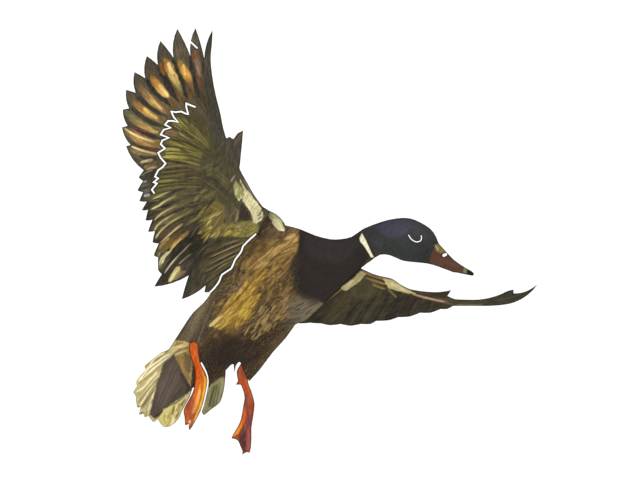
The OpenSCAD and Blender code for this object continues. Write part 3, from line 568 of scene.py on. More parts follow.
def paint_leading_edge(art):
    """The smooth dark bar behind the leading edge, with the small bastard wing at its end."""
    art.patch([(-90, 467), (-78, 442), (-69, 402), (-56, 350), (-48, 346), (-34, 357), (-35, 314),
               (-37, 296), (-50, 294), (-64, 310), (-77, 346), (-90, 390)], "45423a", 9, 0.8)
    for k in range(5):
        x0 = -94 + k * 7.2
        art.stroke([(x0, 435), (x0 + 8, 394), (x0 + 19, 352)], 4.2, "514c42 4e4a3e 45413a", 3, 0.4, 0.06)
    art.feather([(-48, 314), (-42, 336), (-32, 360)], 13, "4a443b 4c443c 54483c", rim="34302a", lift=0.3)
    art.stroke([(-58, 314), (-53, 333), (-51, 349)], 6, "4a453b 504a40", 3, 0.7, 0.15)
    art.stroke([(-46, 336), (-38, 347), (-34, 355)], 4, "66523f", 3, 0.5)
    art.speckle(band(art, (-42, 330), 30), "36332d", "5e5444", 3, 80, 0.5, 8)


def band(art, centre, reach):
    """A soft round area about a point, as a share at each point."""
    far = np.hypot(*(art.points - np.array(centre)).T)
    return soft_step(1.5 - far / reach)


def shade(art, centre, reach, gain):
    """Lightens or darkens a soft round area."""
    art.colour *= 1 + (gain - 1) * band(art, centre, reach)[:, None]


def paint_coverts(art):
    """Streaks that run from the cut zigzag in to the wrist, in olive and bronze."""
    art.patch([(-138, 390), (-115, 390), (-91, 374), (-75, 346), (-64, 306), (-91, 285), (-163, 272),
               (-170, 298), (-163, 330), (-158, 358), (-147, 378)], "4b472d", 8, 0.9)
    art.fan([(-130, 387), (-144, 371), (-155, 352), (-160, 333), (-163, 317)],
            [(-86, 342), (-83, 333), (-78, 320), (-77, 309), (-77, 298)], 30, OLIVE, 3.6, 21, 0.03, 1.8,
            0.85)
    art.fan([(-157, 310), (-163, 294), (-168, 278), (-174, 262)],
            [(-90, 298), (-91, 288), (-93, 278), (-94, 269)], 24, DARK_OLIVE + " 68623a", 3.2, 22, 0.02,
            1.8, 0.85)
    bright = [
        ([(-138, 382), (-130, 376), (-120, 366), (-106, 352)], 2.6, "8c8246 a09650 6c643c 4c472e"),
        ([(-144, 374), (-134, 371), (-125, 363)], 3.0, "6c6440 968b46 605832"),
        ([(-130, 381), (-118, 374), (-106, 362)], 1.8, "5c5434 7c7448 544e34"),
        ([(-155, 354), (-146, 357), (-134, 354)], 6, "6c5840 86694a 605038"),
        ([(-134, 358), (-122, 350), (-102, 339)], 1.8, "9c8a60 7c6c48 4c452f"),
        ([(-150, 344), (-134, 338), (-115, 328), (-96, 318)], 2.4, "7c7636 90883e 8c8440 544e30"),
        ([(-144, 349), (-125, 341), (-99, 330)], 1.4, "6c6438 827a42 5c5634"),
        ([(-157, 330), (-144, 331), (-128, 328)], 3.2, "a49c50 aca252 746c38"),
        ([(-160, 318), (-147, 319), (-131, 318), (-112, 315)], 3.2, "bcb268 aaa050 8c833e 5c562f"),
        ([(-155, 324), (-138, 325), (-118, 322)], 1.8, "b0a858 9c9448 6c6436"),
        ([(-122, 330), (-106, 325), (-90, 315)], 2.0, "8c8642 78703a 4c472c"),
        ([(-125, 312), (-112, 309), (-96, 301)], 1.6, "8d8654 7a7448 544f34"),
        ([(-166, 299), (-152, 302), (-134, 304), (-115, 302)], 2.0, "86804a 7a6c44 6c5c40 453f2e"),
        ([(-163, 293), (-138, 296), (-112, 298)], 1.3, "6c6440 76693f 504a34"),
        ([(-163, 286), (-134, 290), (-106, 293)], 1.4, "64603a 70683f 4c4832"),
        ([(-168, 278), (-157, 280), (-138, 282), (-115, 285)], 3.0, "8a8648 807a42 585434 45412f"),
        ([(-170, 270), (-154, 274), (-128, 278)], 1.6, "807a42 68623a 4a4530"),
        ([(-173, 264), (-154, 269), (-125, 274)], 1.4, "74703e 5c5838 423e2e"),
        ([(-99, 330), (-83, 323), (-70, 314)], 2.2, "5c5838 726c42 4c4834"),
        ([(-94, 310), (-80, 304), (-67, 293)], 2.0, "5f5a38 6f6a44 4c4834"),
        ([(-96, 294), (-77, 286), (-58, 277)], 1.6, "605c40 747050 545040"),
        ([(-93, 286), (-74, 278), (-54, 272)], 1.4, "545038 6c684a 4c4838"),
    ]
    for line, width, tones in bright:
        art.stroke(line, width * WIDE * 0.85, tones, 1.8, 0.9, 0.12)
    darks = [
        ([(-133, 381), (-122, 370), (-109, 357)], 1.4, "34322a"),
        ([(-138, 371), (-125, 360), (-107, 347)], 1.8, "34321f"),
        ([(-125, 386), (-118, 379), (-115, 368)], 2.8, "4a3a30"),
        ([(-147, 347), (-125, 342), (-99, 331)], 1.5, "302d22"),
        ([(-150, 334), (-131, 334), (-102, 325)], 1.5, "3a3624"),
        ([(-154, 327), (-134, 327), (-115, 325)], 1.2, "4c4626"),
        ([(-154, 322), (-138, 322), (-115, 320)], 1.2, "45401f"),
        ([(-128, 314), (-112, 312), (-90, 306)], 1.4, "36321f"),
        ([(-163, 309), (-154, 312), (-138, 310), (-115, 307)], 2.6, "352d26"),
        ([(-163, 296), (-139, 299), (-107, 301)], 1.4, "322e25"),
        ([(-166, 290), (-138, 293), (-106, 296)], 1.3, "353126"),
        ([(-166, 282), (-138, 285), (-106, 288)], 1.4, "353226"),
        ([(-170, 274), (-141, 277), (-106, 282)], 1.3, "34301f"),
        ([(-173, 259), (-150, 264), (-115, 270)], 1.5, "33302a"),
        ([(-96, 317), (-80, 310), (-64, 298)], 1.6, "37342a"),
        ([(-93, 298), (-74, 290), (-51, 278)], 1.5, "36332a"),
    ]
    for line, width, tones in darks:
        art.stroke(line, width * WIDE * 0.85, tones, 1.6, 0.85, -0.06)


def paint_secondaries(art):
    """The trailing feathers: dark vanes with pale edges, sweeping down and to the left."""
    art.patch([(-202, 301), (-163, 307), (-91, 275), (-86, 234), (-90, 170), (-106, 118), (-131, 90),
               (-179, 114), (-179, 186), (-202, 250)], "3b382f", 4, 1.0)
    art.fan([(-90, 269), (-90, 250), (-94, 227), (-99, 205), (-106, 186)],
            [(-195, 262), (-192, 234), (-182, 205), (-174, 179), (-166, 150)], 34,
            SMOKE + " 57523a 5f5840", 6.5, 31, 0.04, 2.4, 0.9, 0.2)
    vanes = [
        ([(-115, 278), (-147, 270), (-176, 253), (-195, 248)], 9, "4a4632 57523a 6a6440 3c3a30"),
        ([(-106, 266), (-138, 256), (-170, 240), (-192, 234)], 9, "4c4832 57523a 4a4636 34322c"),
        ([(-99, 256), (-134, 242), (-163, 226), (-186, 218)], 9, "4f4a34 585238 5c5240 3a3a34"),
        ([(-96, 240), (-128, 227), (-160, 214), (-182, 202)], 10, "4c4834 56503a 6b6048 34302c"),
        ([(-94, 227), (-128, 211), (-154, 198), (-174, 182)], 11, "454132 50493a 5c4c3c 33302b"),
        ([(-96, 214), (-125, 198), (-150, 179), (-171, 160)], 12, "403c32 453f36 7c6438 504a3c"),
        ([(-99, 202), (-125, 182), (-150, 160), (-165, 138)], 12, "35332c 332e2a 38332e 645c48"),
        ([(-99, 192), (-122, 170), (-141, 150), (-158, 130)], 12, "35322c 332f2a 322d2a 2f2b2a"),
        ([(-99, 179), (-122, 157), (-144, 138), (-171, 115)], 14, "35322c 322f2a 34302b 2f2d29"),
        ([(-93, 176), (-109, 157), (-125, 141), (-144, 122)], 15, "3c3932 3f3b33 4a423a 8c8468"),
    ]
    for line, width, tones in vanes:
        art.feather(line, width * 1.35, tones, rim="25231f", lift=0.42, blunt=4, soft=1.4, side=0.12)
    pale = [
        ([(-176, 251), (-163, 256), (-147, 264), (-125, 272)], 1.3, "c8c070 b8b068 7c7848 56523a"),
        ([(-178, 234), (-166, 240), (-154, 248), (-134, 258)], 1.7, "eee2a0 e4d890 b0a468 625c3c"),
        ([(-173, 216), (-163, 226), (-150, 234), (-131, 243)], 1.5, "c8b878 c0b070 9c9060 5c563a"),
        ([(-174, 198), (-166, 210), (-154, 219), (-138, 229)], 1.5, "d8cc98 c4b478 b0a468 7c7448"),
        ([(-171, 187), (-162, 200), (-147, 213), (-128, 224), (-106, 237)], 1.8,
         "e4d8a0 d0bc78 b4a460 8c8048 5c5638"),
        ([(-163, 181), (-150, 192), (-138, 203), (-125, 213)], 1.8, "b89858 d4bc7c dcc88c 8c7c50"),
        ([(-165, 170), (-158, 181), (-147, 190)], 2.4, "8c7050 a4845c b4986c"),
        ([(-147, 170), (-138, 181), (-125, 192), (-114, 202)], 3.6, "a88844 b89648 a48848 5c4c34"),
        ([(-150, 163), (-141, 176), (-128, 189)], 1.4, "d8c080"),
        ([(-165, 141), (-160, 154), (-149, 168)], 3.0, "8c8058 d0c490 b8a870"),
        ([(-160, 147), (-155, 158), (-147, 168)], 1.2, "e4d8a8"),
        ([(-168, 154), (-163, 166)], 1.8, "8c8060"),
        ([(-157, 131), (-144, 149), (-131, 163), (-112, 182)], 1.3, "d8ccac cdb898 b8a888 8c8060"),
        ([(-149, 118), (-141, 130), (-131, 144)], 4.4, "c8bc80 e0d694 a89c64"),
        ([(-142, 122), (-136, 131), (-130, 138)], 2.0, "a08c50"),
        ([(-138, 126), (-130, 133), (-120, 136)], 2.4, "8c7c54 7c6c4c 54483c"),
        ([(-134, 146), (-122, 157), (-109, 166)], 1.1, "a89c84 8c8468 5c563f"),
        ([(-122, 208), (-109, 218), (-94, 226)], 2.2, "5c5838 7c7a40 6c683c"),
        ([(-115, 189), (-106, 202), (-94, 214)], 1.1, "6c6450"),
    ]
    for line, width, tones in pale:
        art.stroke(line, width * WIDE, tones, 1.6, 0.92, 0.15)
    art.patch([(-90, 214), (-85, 176), (-99, 150), (-115, 118), (-126, 94), (-120, 128), (-115, 150),
               (-109, 179)], "322f2a", 6, 0.8)
    small = [
        ([(-195, 309), (-186, 312), (-173, 314)], 2.4, "d8c890 c8b880 8c7c58"),
        ([(-190, 301), (-179, 304), (-163, 307)], 3.2, "8c6c48 7c5c40 54443a"),
        ([(-186, 298), (-176, 301), (-163, 302)], 1.8, "c8b080 c8a878 8c7454"),
        ([(-200, 285), (-186, 288), (-170, 291)], 5.5, "45433a 3a3934 34332e"),
        ([(-198, 272), (-186, 274), (-173, 278)], 4.5, "4c4c40 5a5a4c 3a3a34"),
        ([(-197, 261), (-186, 264), (-174, 269)], 3.6, "504f44 6c6a58 3c3b35"),
        ([(-194, 288), (-184, 294), (-174, 298)], 1.4, "8c7c64"),
        ([(-192, 278), (-184, 280)], 1.2, "9c9c8c"),
        ([(-189, 256), (-179, 258)], 2.4, "b8b8ac"),
    ]
    for line, width, tones in small:
        art.stroke(line, width * WIDE, tones, 1.6, 0.85, 0.12)


def paint_tertials(art):
    """The group beside the slit: long olive-brown vanes with thin tan edges."""
    art.patch([(-26, 186), (-35, 166), (-48, 141), (-64, 128), (-83, 106), (-99, 112), (-115, 106),
               (-106, 141), (-93, 166), (-77, 186), (-54, 192)], "3d392c", 5, 0.95)
    art.fan([(-16, 192), (-26, 181), (-32, 168), (-42, 154)],
            [(-93, 170), (-99, 150), (-99, 128), (-86, 106)], 15, "4c4732 413d2f 524b36 3a372c 5a5238",
            6.5, 41, -0.02, 2.0, 0.9, 0.25)
    thin = [
        ([(-34, 187), (-58, 178), (-86, 165)], 1.4, "7c7048 94845c 6c6244"),
        ([(-26, 184), (-54, 171), (-83, 158)], 1.2, "7c6c48 b4a07c 9c8c68"),
        ([(-30, 173), (-58, 160), (-86, 146)], 1.2, "6c6044 9c8c64 7c6c50"),
        ([(-34, 166), (-58, 152), (-93, 134)], 1.3, "6c6248 ac9870 746c50"),
        ([(-42, 157), (-64, 144), (-83, 130)], 1.1, "6c6048 968660 5c5240"),
        ([(-48, 147), (-69, 133), (-90, 117)], 1.0, "5c5644 7c7458 54503f"),
        ([(-77, 182), (-93, 173), (-106, 157)], 1.0, "4c4838 6c6650 4c483a"),
    ]
    for line, width, tones in thin:
        art.stroke(line, width * WIDE, tones, 1.4, 0.92, 0.1)
    dim = [
        ([(-30, 178), (-61, 166), (-90, 152)], 1.3, "2a271f"),
        ([(-32, 170), (-61, 156), (-90, 141)], 1.2, "2d2a22"),
        ([(-38, 160), (-67, 146), (-93, 128)], 1.4, "2b2822"),
        ([(-51, 144), (-77, 125), (-93, 110)], 1.8, "302e29"),
        ([(-42, 182), (-70, 173), (-93, 160)], 1.1, "322e24"),
    ]
    for line, width, tones in dim:
        art.stroke(line, width * WIDE, tones, 1.6, 0.85, -0.08)


def paint_underwing(art):
    """The lesser coverts, the gold and cream patches by the shoulder, and the dark hollow between them."""
    art.patch([(-96, 330), (-64, 330), (-35, 294), (-38, 250), (-26, 210), (-77, 186), (-93, 210),
               (-99, 266)], "464230", 9, 0.85)
    art.fan([(-94, 317), (-94, 290), (-94, 262), (-91, 237)],
            [(-48, 278), (-54, 256), (-54, 234), (-42, 211)], 22, "504c34 423e30 5f5a3c 393529 4c4734",
            4.6, 51, 0.05, 2.0, 0.7)
    art.cluster([(-88, 318), (-69, 314), (-64, 294), (-78, 288), (-90, 301)], 200, (11, 6), 9,
                "545036 4a4632 605c40 403d2e", 52)
    art.cluster([(-99, 275), (-80, 277), (-70, 256), (-86, 243), (-101, 253)], 215, (12, 6), 10,
                "5a5434 4c4830 66603c 423e2c", 53)
    art.patch([(-91, 238), (-77, 246), (-64, 242), (-58, 229), (-61, 214), (-48, 213), (-54, 198),
               (-77, 197), (-88, 205), (-93, 222)], "6f6236", 4, 0.9)
    art.cluster([(-91, 240), (-77, 246), (-66, 240), (-74, 224), (-85, 214), (-91, 227)], 222, (20, 6),
                13, "6c6238 84763f 94844a 5c5434 a0905a", 59, "4a4028", 0.25)
    art.cluster([(-83, 224), (-67, 237), (-54, 230), (-58, 214), (-74, 198), (-85, 205)], 225, (24, 6),
                16, "8a7a3e a6954c 786a3a ae9e60 6a5c38", 60, "4c4228", 0.25)
    art.cluster([(-74, 202), (-58, 214), (-46, 216), (-54, 203), (-67, 195)], 222, (18, 6), 9,
                "9a8a4a a8985c 7a6a40 6c5c3c", 61, "4c4228", 0.25)
    art.stroke([(-77, 250), (-86, 240), (-94, 227)], 3.0, "38311f", 2.4, 0.8, -0.1)
    art.stroke([(-62, 234), (-72, 227), (-83, 218)], 1.4, "5c4f28", 1.6, 0.75)
    art.cluster([(-61, 243), (-45, 245), (-38, 230), (-46, 214), (-58, 224)], 250, (11, 6), 12,
                "4c4634 5a523c 443e30 645c44", 54)
    art.feather([(-42, 237), (-38, 229), (-42, 214)], 5.5, "5c503c 786a50 8c7c64", lift=0.2, soft=1.6)
    art.patch([(-34, 245), (-26, 237), (-18.5, 224), (-21, 216), (-30, 217), (-38, 222), (-36, 235)],
              "3a302c", 3, 0.95)
    art.patch([(-74, 192), (-54, 208), (-26, 216), (-8, 214), (-6.5, 198), (-16, 192), (-35, 188),
               (-64, 186)], "877b40", 4, 0.9)
    art.cluster([(-64, 190), (-51, 205), (-26, 214), (-8, 213), (-8, 200), (-22, 192), (-42, 189)], 205,
                (13, 6.5), 24, "8c8044 7a6e3a a09250 6c6236 968a5c", 56, "5a5030")
    art.feather([(-40, 202), (-53, 198), (-64, 189)], 5 * WIDE, "8a8040 aa9e50 a09248", rim="5c5228",
                lift=0.25, soft=1.6)
    art.stroke([(-50, 202), (-44, 202)], 3.6, "3a3418", 2, 0.85)
    art.stroke([(-58, 205), (-66, 197), (-72, 187)], 2.4, "42301f", 2.2, 0.8)
    art.stroke([(-66, 200), (-74, 190)], 2.4, "8c7c60 a8987c", 2, 0.6)
    art.stroke([(-45, 213), (-29, 215), (-16, 214)], 1.4, "5c5434 7c7850 5c5434", 1.6, 0.7)
    art.patch([(-43, 282), (-37, 275), (-29, 264), (-32, 253), (-40, 254), (-45, 269)], "a2a068", 4, 0.9)
    art.cluster([(-42, 278), (-35, 274), (-30, 262), (-35, 254), (-42, 262)], 260, (9, 5), 7,
                "b2b078 8e8c58 bcb888", 58)
    art.patch([(-35, 282), (-29, 272), (-16, 256), (-1.5, 237), (1.5, 222), (-8, 213), (-14.5, 216),
               (-17.5, 230), (-29, 245), (-30, 254), (-29, 264)], cream_vane, 2.6, 1.0)
    art.stroke([(-30, 254), (-24, 242), (-16, 229)], 2.2, "d8c8b0 dcd0b0 ccbf98", 2, 0.7)
    art.stroke([(-50, 278), (-46, 285), (-42, 290)], 2.4, "948474 b8a898 6c6050", 2, 0.8)
    art.stroke([(-34, 288), (-19, 266), (0, 237)], 2.0, "54503f 8c8668 6c6650", 1.8, 0.9, 0.1)
    for k in range(6):
        top = 241.6 - k * 4.6
        edge = -4.8 + 3.0 * math.sin(k * 1.1)
        art.stroke([(edge, top), (edge + 7, top + 5)], 2.0, "3a3128", 1.4, 0.85)


def cream_vane(points):
    """Cream with faint darker streaks along the shoulder edge."""
    grain = noise(points, 2.2, -50, 4.0, 9)[:, None]
    return rgb("dcd3a6") * grain + rgb("c2b98a") * (1 - grain)


def paint_body(art):
    """The long body: barred brown flank with a gold band, dark neck, head, bill and tail."""
    art.patch([(-91, 98), (-35, 170), (0, 198), (58, 198), (54, 150), (61, 90), (45, 50), (-19, 17.5),
               (-90, 17.5), (-139, 17.5), (-115, 66)], "5e4a30", 10, 0.9)
    art.patch([(0, 214), (35, 208), (54, 198), (48, 176), (9.5, 186), (-9.5, 192)], "5a4a3a", 8, 0.8)
    art.speckle(1.0, "2e251c", "9a7a48", 3.4, 48, 0.75, 61, 2.6)
    art.grain += 0.95
    art.cluster([(-138, 22), (-106, 70), (-58, 115), (-26, 160), (0, 150), (-42, 96), (-77, 58),
                 (-90, 19)], 232, (19, 6.5), 90, "584c3c 665846 4c4234 40382e 726450", 62, None, 0.12)
    art.cluster([(-29, 150), (6.5, 182), (48, 195), (58, 170), (32, 150), (0, 128), (-19, 122)], 225,
                (15, 5.5), 80, "7c6038 8f7040 6a5030 9c7c4c 5c4a30 8c7c48", 63, None, 0.12)
    art.cluster([(-16, 115), (16, 141), (48, 150), (48, 106), (19, 83), (-9.5, 70)], 232, (16, 6), 70,
                "66502f 5a472c 725a36 4f3f29", 64, None, 0.12)
    paint_flank(art)
    paint_belly(art)
    paint_neck(art)
    paint_tail(art)
    art.cluster([(-35, 35), (-16, 61), (6.5, 86), (35, 99), (48, 80), (22, 48), (-9.5, 26)], 50,
                (14, 2.4), 110, "7c6644 8c744c 5c4830 6c5638 a08858", 84, None, 0.1)
    art.feather([(34, 202), (22, 218), (6.5, 232)], 11.5, "e4d8a8 c4c090 9a9a74 6c6a52", rim="4c463a",
                lift=0.3, blunt=5, soft=1.6)
    art.stroke([(32, 200), (24, 206), (16, 216)], 3.4, "eee6c0 dcd4a4 b8b488", 1.6, 0.9)
    tones = [
        ((106, 150), 60, 1.32), ((221, 205), 44, 1.18), ((-179, -42), 26, 1.2),
        ((-93, 58), 26, 1.16), ((-22, 6.5), 26, 1.14), ((90, 70), 30, 1.16),
    ]
    for centre, reach, gain in tones:
        shade(art, centre, reach, gain)
    art.speckle(band(art, (-19, 106), 70) * art.grain, "3a2c1c", "c8a860", 1.9, 40, 0.45, 66, 2.2)


def paint_flank(art):
    """The gold band from the thigh up to the shoulder, made of loose barbs, with its tawny surround."""
    art.patch([(-19, 144), (6.5, 170), (35, 186), (56, 197), (56, 176), (42, 160), (16, 147),
               (-9.5, 128)], "77592f", 8, 0.7)
    art.patch([(-77, 53), (-61, 77), (-42, 99), (-22, 118), (-3, 130), (3, 122), (-9.5, 102), (-22, 80),
               (-32, 61), (-45, 45), (-61, 43)], "8a6a30", 6, 0.85)
    art.cluster([(-83, 48), (-64, 74), (-45, 96), (-22, 120), (-6.5, 128), (-13, 106), (-29, 83),
                 (-42, 61), (-58, 45), (-70, 42)], 47, (26, 2.8), 120,
                 "b08a38 c8a248 a07c34 d4b058 8c6a30 7a5a2c", 71, None, 0.1)
    art.cluster([(-42, 54), (-32, 77), (-19, 93), (-13, 90), (-19, 70), (-32, 48), (-45, 40)], 50,
                (18, 2.8), 34, "c8a040 d8b848 a8843c 8c6c34", 72, None, 0.1)
    art.cluster([(-16, 147), (6.5, 166), (32, 181), (53, 192), (54, 176), (35, 166), (9.5, 150),
                 (-9.5, 134)], 34, (24, 2.4), 80, "a07c44 b8945a 8a6838 c8a468 6c5030 947848", 73, None,
                 0.1)
    art.cluster([(0, 128), (29, 150), (54, 170), (56, 150), (35, 134), (9.5, 109)], 38, (22, 2.4), 60,
                "8c6e3c a08448 6c5430 5a4528", 74, None, 0.1)
    bright = [
        ([(-85, 46), (-72, 58), (-54, 72)], 3.2, "e8d890 d8c078 b89848"),
        ([(-77, 45), (-64, 53), (-50, 67)], 1.8, "d8c888 b89c50 a08038"),
        ([(-54, 78), (-38, 98), (-19, 117)], 1.6, "c8a84c dcb858 c09c48"),
        ([(-38, 61), (-30, 74), (-21, 85)], 2.8, "d0ac40 e0c04c c8a444"),
        ([(-29, 133), (-9.5, 149), (13, 166), (45, 182)], 1.5, "8c6c3c c8a868 b89860 d4b478"),
        ([(-16, 128), (6.5, 144), (32, 160), (54, 170)], 1.5, "9c7c3c c09c50 a88848 8c7040"),
        ([(9.5, 109), (29, 128), (51, 150)], 1.2, "8c6c3c a88448 7c6038"),
        ([(35, 186), (45, 190), (54, 195)], 3.4, "a08054 c8a878 c8b080"),
    ]
    for line, width, tones in bright:
        art.stroke(line, width * WIDE, tones, 2.2, 0.85, 0.1)
    for k in range(7):
        across, up = -68 + 12 * k, 62 + 13 * k
        art.stroke([(across, up), (across + 14, up + 16), (across + 34, up + 32)], 1.8, "3f2f1c", 2.0,
                   0.6)
    art.stroke([(-29, 40), (-19, 64), (-6.5, 86)], 5, "4f3a26 5a4228 5e4830", 5, 0.7)


def paint_belly(art):
    """The darker belly and the cool grey under the breast."""
    art.patch([(-90, 26), (-61, 35), (-35, 38), (-16, 64), (6.5, 90), (45, 90), (54, 54), (35, 35),
               (0, -6.5), (-22, -35), (-35, -9.5), (-86, -45), (-102, -6.5)], "3b3027", 12, 0.9)
    art.patch([(-58, 22), (-35, 35), (0, 42), (22, 32), (0, 0), (-26, -13), (-61, -16), (-83, -35),
               (-93, -9.5), (-80, 9.5)], "2f2824", 10, 0.85)
    art.patch([(35, 90), (64, 96), (96, 90), (125, 70), (109, 51), (61, 51), (42, 42)], "6a6150", 10,
              0.85)
    art.patch([(45, 61), (61, 70), (86, 70), (86, 54), (58, 50)], "6c6450", 8, 0.6)
    art.stroke([(-19, -32), (6.5, 0), (35, 35), (48, 50)], 9, "463d30 4c4232 544a38 5a5644", 5, 0.6)
    art.stroke([(13, 17.5), (29, 32)], 6, "6c5034", 5, 0.5)
    art.fan([(-93, 90), (-77, 106), (-58, 122), (-38, 150)],
            [(-144, 22), (-131, 16), (-115, 13), (-99, 22)], 22,
            "4e4436 655845 40382d 5a4e3c 786a54 38322a", 5.5, 81, -0.02, 2.6, 0.65)
    art.speckle(band(art, (0, 34), 46), "241e19", "6a543c", 2.6, 40, 0.4, 82)
    art.grain *= 1 - 0.75 * band(art, (-42, 6.5), 34)
    art.cluster([(38, 80), (64, 93), (96, 90), (112, 77), (96, 58), (58, 51), (38, 48)], 205, (16, 3.4),
                60, "6c6252 5a5242 7c7260 4c4438", 83, None, 0.1)
    art.grain *= 1 - 0.3 * band(art, (69, 66), 26)


def paint_neck(art):
    """Black-brown neck and breast, the cream ring, the dark head with its sheen, and the brown bill."""
    art.patch([(59, 200), (58, 186), (56, 168), (48, 152), (45, 130), (50, 109), (64, 94), (93, 86),
               (115, 80), (144, 106), (166, 150), (182, 166), (157, 205), (109, 186), (70, 202)],
               "2b2725", 5, 1.0)
    calm = soft_step((points_x(art) - 49.6) / 14)
    art.grain *= 1 - calm * 0.88
    art.stroke([(46, 150), (45, 128), (51, 109), (67, 93), (96, 85)], 10,
               "352e2a 382f2a 3c342c 443c32 4a4436", 7, 0.6)
    art.patch([(64, 198), (109, 184), (141, 190), (160, 205), (154, 176), (125, 150), (77, 160)],
              "302d2c", 9, 0.8)
    art.stroke([(9.5, 237), (22, 227), (35, 214)], [5, 12, 8], "c4c08c d2cc98 c8c090", 2.4, 0.95, 0.1)
    art.stroke([(6.5, 224), (19, 211), (32, 200)], 2.4, "3a322c", 3, 0.6)
    art.stroke([(35, 211), (54, 202)], 3, "6c6444", 3, 0.6)
    art.patch([(157, 202), (176, 210), (208, 219), (234, 222), (262, 211), (282, 189), (285, 176),
               (272, 150), (237, 150), (208, 160), (182, 163), (160, 186)], "353537", 4, 1.0)
    art.patch([(182, 208), (208, 218), (234, 219), (240, 205), (218, 192), (192, 195)], "403d49", 9, 0.9)
    art.patch([(195, 189), (227, 186), (266, 176), (266, 157), (227, 158), (195, 170)], "2f3230", 9, 0.85)
    art.patch([(243, 214), (266, 205), (280, 186), (262, 186), (243, 198)], "3c3d40", 7, 0.6)
    sheen = noise(art.points, 26, 20, 2.2, 91) * band(art, (221, 189), 55)
    art.colour *= (0.9 + 0.22 * sheen)[:, None]
    art.patch([(156, 189), (160, 196), (165, 188), (171, 174), (175, 166), (179, 158), (174, 158),
               (168, 169), (162, 178), (157, 183)], "dcd7b6", 1.2, 1.0, False, 0.4)
    art.stroke([(162, 193), (170, 181), (178, 165)], 1.6, "222220", 1.8, 0.85)
    art.stroke([(154, 189), (160, 176), (171, 160)], 1.6, "2a2822", 1.8, 0.85)
    art.patch([(277, 178), (285, 179), (301, 163), (320, 150), (339, 136), (336, 130), (310, 134),
               (285, 142), (269, 147), (270, 158), (274, 168)], "573d30", 2.0, 1.0)
    art.patch([(277, 178), (285, 178), (294, 168), (285, 165), (278, 170)], "7c7244", 3, 0.95)
    art.stroke([(278, 157), (298, 150), (320, 141)], 5, "5c3c34 66453a 5a4438", 5, 0.7, 0.1)
    art.stroke([(294, 166), (310, 154), (326, 144)], 3.4, "54462f 554a34 5c5440", 4, 0.6)
    art.stroke([(277, 177), (280, 173), (282, 168)], 1.6, "bcb894", 1.6, 0.85)
    art.patch([(322, 144), (330, 140), (331, 134), (323, 134)], "7a7a54", 2.4, 0.9)
    art.patch([(330, 141), (341, 134), (339, 128), (333, 128), (328, 134)], "23221f", 1.6, 1.0)


def points_x(art):
    """How far across each point is."""
    return art.points[:, 0]


